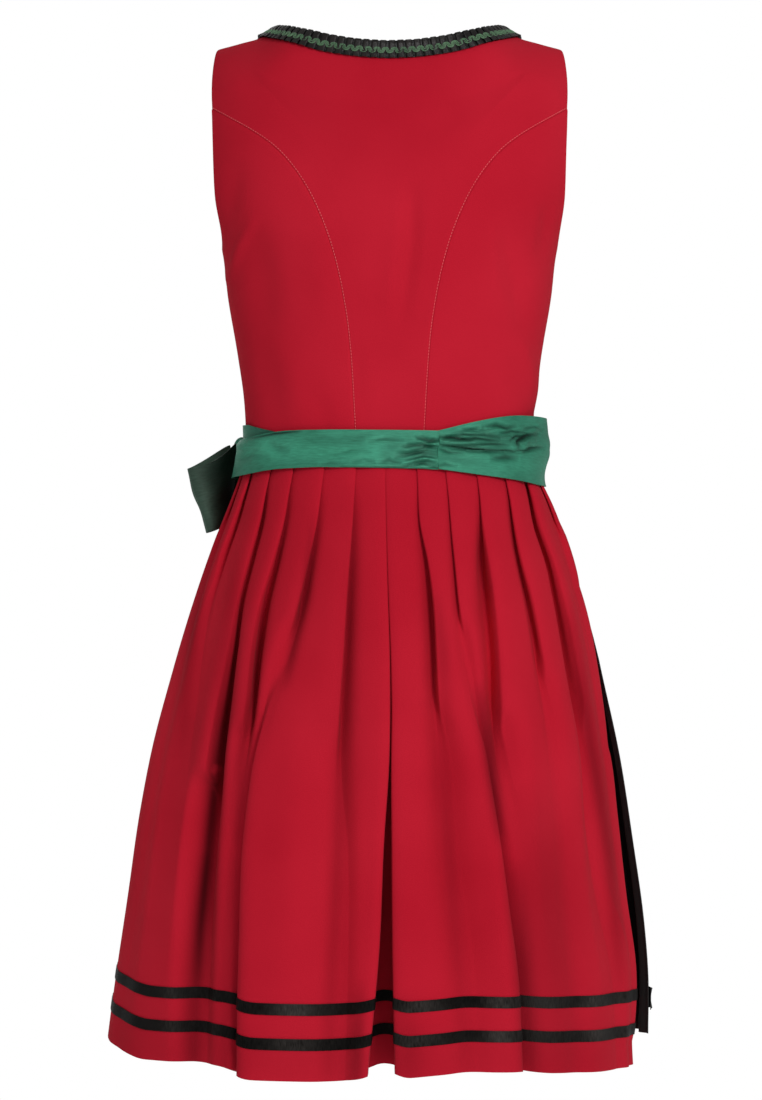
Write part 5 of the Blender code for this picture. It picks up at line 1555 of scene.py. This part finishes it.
def node(tree, kind, settings=None, **inputs):
    """A shader node with its settings and inputs. An input is a value or another node's output, and its
    name is the socket's, or i with the socket's number."""
    made = tree.nodes.new("ShaderNode" + kind)
    for key, value in (settings or {}).items():
        setattr(made, key, value)
    for key, value in inputs.items():
        socket = made.inputs[int(key[1:]) if key[1:].isdigit() else key]
        if isinstance(value, bpy.types.NodeSocket):
            tree.links.new(value, socket)
        else:
            socket.default_value = value
    return made


def maths(tree, operation, first, second=0.0):
    """Output of a calculation with one or two values."""
    return node(tree, "Math", {"operation": operation}, i0=first, i1=second).outputs[0]


def mixed(tree, first, second, share):
    """One value by its share and another by the rest."""
    parts = maths(tree, "MULTIPLY", first, share), maths(tree, "MULTIPLY", second, 1 - share)
    return maths(tree, "ADD", *parts)


def noise(tree, place, scale, detail, roughness):
    """Output of a noise at a scale."""
    return node(tree, "TexNoise", Vector=place, Scale=scale, Detail=detail, Roughness=roughness).outputs[0]


def fill(shader, sockets):
    """Puts constants on a shader's own sockets."""
    for key, value in sockets.items():
        shader.inputs[key].default_value = value


# Share of the stronger threads in a ribbed or upright weave, and where the mottling starts and ends
MAIN_THREADS = 0.75
MOTTLE_STOPS = (0.34, 0.66)


def cloth_material(name, finish):
    """A cloth: two colours mottled by its fibres, threads at a pitch each way, nap and fine relief."""
    made = bpy.data.materials.new(name)
    made.use_nodes = True
    tree = made.node_tree
    shader = tree.nodes["Principled BSDF"]
    place = node(tree, "UVMap", {"uv_map": "cloth"}).outputs[0]
    axes = node(tree, "SeparateXYZ", Vector=place).outputs
    across = maths(tree, "SINE", maths(tree, "MULTIPLY", axes[0], 2 * math.pi / finish.weave[0]))
    along = maths(tree, "SINE", maths(tree, "MULTIPLY", axes[1], 2 * math.pi / finish.weave[1]))
    if finish.weave[2] == "plain":
        threads = maths(tree, "MULTIPLY", across, along)
    else:
        threads = (along, across) if finish.weave[2] == "ribbed" else (across, along)
        threads = mixed(tree, *threads, MAIN_THREADS)
    stretch = (*finish.slub, 1.0)
    stretched = node(tree, "VectorMath", {"operation": "MULTIPLY"}, i0=place, i1=stretch).outputs[0]
    fibres = noise(tree, stretched, finish.nap[0], 3.0, 0.6)
    cloudy = noise(tree, node(tree, "TexCoord").outputs["Object"], finish.nap[1], 2.0, 0.5)
    ramp = node(tree, "ValToRGB", i0=mixed(tree, fibres, cloudy, finish.spread))
    for stop, position, colour in zip(ramp.color_ramp.elements, MOTTLE_STOPS, (finish.dark, finish.light)):
        stop.position, stop.color = position, (*colour, 1.0)
    # Painted shade and painted highlights: the base colour is scaled down by the points' shade, or up where
    # it is below zero
    shaded = node(tree, "Attribute", {"attribute_name": "shade"}).outputs[2]
    left = maths(tree, "SUBTRACT", 1.0, shaded)
    shown = node(tree, "VectorMath", {"operation": "SCALE"}, i0=ramp.outputs[0], i3=left)
    tree.links.new(shown.outputs[0], shader.inputs["Base Color"])
    strength, thread_rise, fibre_rise, distance = finish.bump
    height = maths(tree, "MULTIPLY", threads, thread_rise), maths(tree, "MULTIPLY", fibres, fibre_rise)
    raised = node(tree, "Bump", Strength=strength, Distance=distance, Height=maths(tree, "ADD", *height))
    tree.links.new(raised.outputs[0], shader.inputs["Normal"])
    fill(shader, {"Roughness": finish.roughness, "Specular IOR Level": finish.specular, **finish.more})
    made.diffuse_color = (*finish.light, 1.0)
    return made


# A finish. Weave: the threads' pitch across and along, in metres, and its kind. Nap: the scales of fibres
# and of clouds. Bump: strength, rise of threads, rise of fibres, and distance. More: other sockets. Spread:
# the share of fibres in the mottling. Slub: how the fibres are drawn out across and along.
Finish = namedtuple("Finish", "dark light weave nap bump roughness specular more spread slub",
                    defaults=({}, 0.5, (1.0, 1.0)))
TAFFETA = ((0.0007, 0.0006, "ribbed"), (420.0, 25.0), (0.60, 0.4, 0.9, 0.00022))
SATIN_WEAVE, SATIN_BUMP = (0.0006, 0.0010, "upright"), (0.5, 0.6, 0.5, 0.00010)
SHEEN, SHEEN_ROUGHNESS = "Sheen Weight", "Sheen Roughness"
FINISHES = {
    "red_wool": Finish(
        (0.385, 0.0055, 0.0175), (0.495, 0.0125, 0.0290), (0.0009, 0.0009, "plain"), (1100.0, 7.0),
        (0.65, 0.5, 0.9, 0.00016), 0.95, 0.06,
        {SHEEN: 0.04, SHEEN_ROUGHNESS: 0.45, "Sheen Tint": (1.0, 0.25, 0.25, 1.0)}),
    "green_taffeta": Finish(
        (0.0240, 0.1700, 0.1020), (0.0460, 0.2850, 0.1800), *TAFFETA, 0.46, 0.35,
        {"Metallic": 0.45, "Anisotropic": 0.35}, slub=(0.25, 1.6)),
    # The green taffeta darkened, as painted shade on the bow's back loop
    "taffeta_reverse": Finish(
        (0.0230, 0.0440, 0.0310), (0.0470, 0.0880, 0.0640), *TAFFETA, 0.50, 0.25,
        {"Metallic": 0.3, "Anisotropic": 0.35}, slub=(0.25, 1.6)),
    "black_satin": Finish(
        (0.0008, 0.0006, 0.0005), (0.0092, 0.0080, 0.0074), SATIN_WEAVE, (520.0, 24.0), SATIN_BUMP,
        0.34, 0.05, {"Anisotropic": 0.4}, 0.6, (1.8, 0.3)),
    "pleated_satin": Finish(
        (0.0012, 0.0009, 0.0008), (0.0140, 0.0105, 0.0092), SATIN_WEAVE, (900.0, 40.0), SATIN_BUMP,
        0.32, 0.24, {"Anisotropic": 0.4}, slub=(1.8, 0.3)),
    "red_thread": Finish(
        (0.700, 0.0900, 0.1050), (0.820, 0.1500, 0.1650), (0.0004, 0.0004, "plain"), (2000.0, 60.0),
        (0.3, 0.5, 0.5, 0.00005), 0.6, 0.2),
    "black_cotton": Finish(
        (0.0055, 0.0052, 0.0050), (0.0110, 0.0104, 0.0100), (0.0007, 0.0007, "plain"), (1200.0, 12.0),
        (0.5, 0.5, 0.7, 0.00012), 0.75, 0.3, {SHEEN: 0.08, SHEEN_ROUGHNESS: 0.4}),
    "green_gimp": Finish(
        (0.0480, 0.1250, 0.0580), (0.1250, 0.2650, 0.1350), (0.0008, 0.0006, "plain"), (1400.0, 60.0),
        (0.6, 0.8, 0.4, 0.00012), 0.6, 0.4, {SHEEN: 0.15}),
}
MATERIALS = {name: cloth_material(name, finish) for name, finish in FINISHES.items()}


# The floor ends below the camera's view. The soft light is stronger behind the dress, where the camera is
WHITE = (1.0, 1.0, 1.0, 1.0)
FLOOR_REACH, FLOOR_GLOW = 2.4, 0.25
WORLD_BACK, WORLD_FRONT, WORLD_TURN = 0.52, 0.34, (-0.3, 0.4)
LIGHTS = table(
    "name place aim size power",
    ("key", (-1.35, 3.15, 0.8), (0.0, 0.0, -0.50), 1.1, 68.0),
    ("front", (0.6, -3.4, 0.4), (0.0, 0.0, -0.50), 2.2, 14.0),
)


def make_stage():
    """The floor, the soft light all round, white as seen by the camera, and two lamps."""
    turn = np.linspace(0.0, 2 * math.pi, 96, endpoint=False)
    rim = [(FLOOR_REACH * math.cos(a), FLOOR_REACH * math.sin(a), FLOOR_Z) for a in turn]
    floor_mesh = bpy.data.meshes.new("floor")
    floor_mesh.from_pydata(rim, [], [tuple(range(len(rim)))])
    pale = bpy.data.materials.new("floor_pale")
    pale.use_nodes = True
    fill(pale.node_tree.nodes["Principled BSDF"], {
        "Base Color": (0.90, 0.90, 0.90, 1.0), "Roughness": 0.9, "Specular IOR Level": 0.1,
        "Emission Color": WHITE, "Emission Strength": FLOOR_GLOW,
    })
    floor_mesh.materials.append(pale)
    linked("floor", floor_mesh)

    world = bpy.data.worlds.new("studio")
    bpy.context.scene.world = world
    world.use_nodes = True
    tree = world.node_tree
    shown = tree.nodes["Background"]
    fill(shown, {"Color": WHITE})
    behind = node(tree, "SeparateXYZ", Vector=node(tree, "TexCoord").outputs["Generated"]).outputs[1]
    first, last = WORLD_TURN
    light = node(tree, "MapRange", i0=behind, i1=first, i2=last, i3=WORLD_FRONT, i4=WORLD_BACK).outputs[0]
    soft = node(tree, "Background", Color=WHITE, Strength=light)
    seen = node(tree, "LightPath").outputs["Is Camera Ray"]
    both = node(tree, "MixShader", i0=seen, i1=soft.outputs[0], i2=shown.outputs[0])
    tree.links.new(both.outputs[0], tree.nodes["World Output"].inputs[0])
    bpy.context.scene.view_settings.view_transform = "Standard"
    for name, place, aim, size, power in LIGHTS:
        lamp = bpy.data.lights.new(name, "AREA")
        lamp.shape, lamp.size, lamp.energy = "DISK", size, power
        seat = linked(name, lamp)
        seat.location = place
        way = np.array(aim) - np.array(place)
        rise = math.atan2(way[2], math.hypot(way[0], way[1]))
        seat.rotation_euler = (math.pi / 2 + rise, 0.0, math.atan2(way[1], way[0]) - math.pi / 2)


def make_camera():
    """A camera with the lens that the photograph's frame asks for."""
    camera = bpy.data.cameras.new("camera")
    camera.sensor_fit = "VERTICAL"
    camera.sensor_height = SENSOR
    camera.lens = FOCAL_PX / PHOTO_HEIGHT * SENSOR
    seat = linked("camera", camera)
    seat.location = CAMERA
    seat.rotation_euler = (math.pi / 2, 0.0, math.pi)
    bpy.context.scene.camera = seat


make_camera()
make_stage()
make_bodice()
make_neck_trim()
make_skirt()
make_apron()
make_sash()
make_bow()
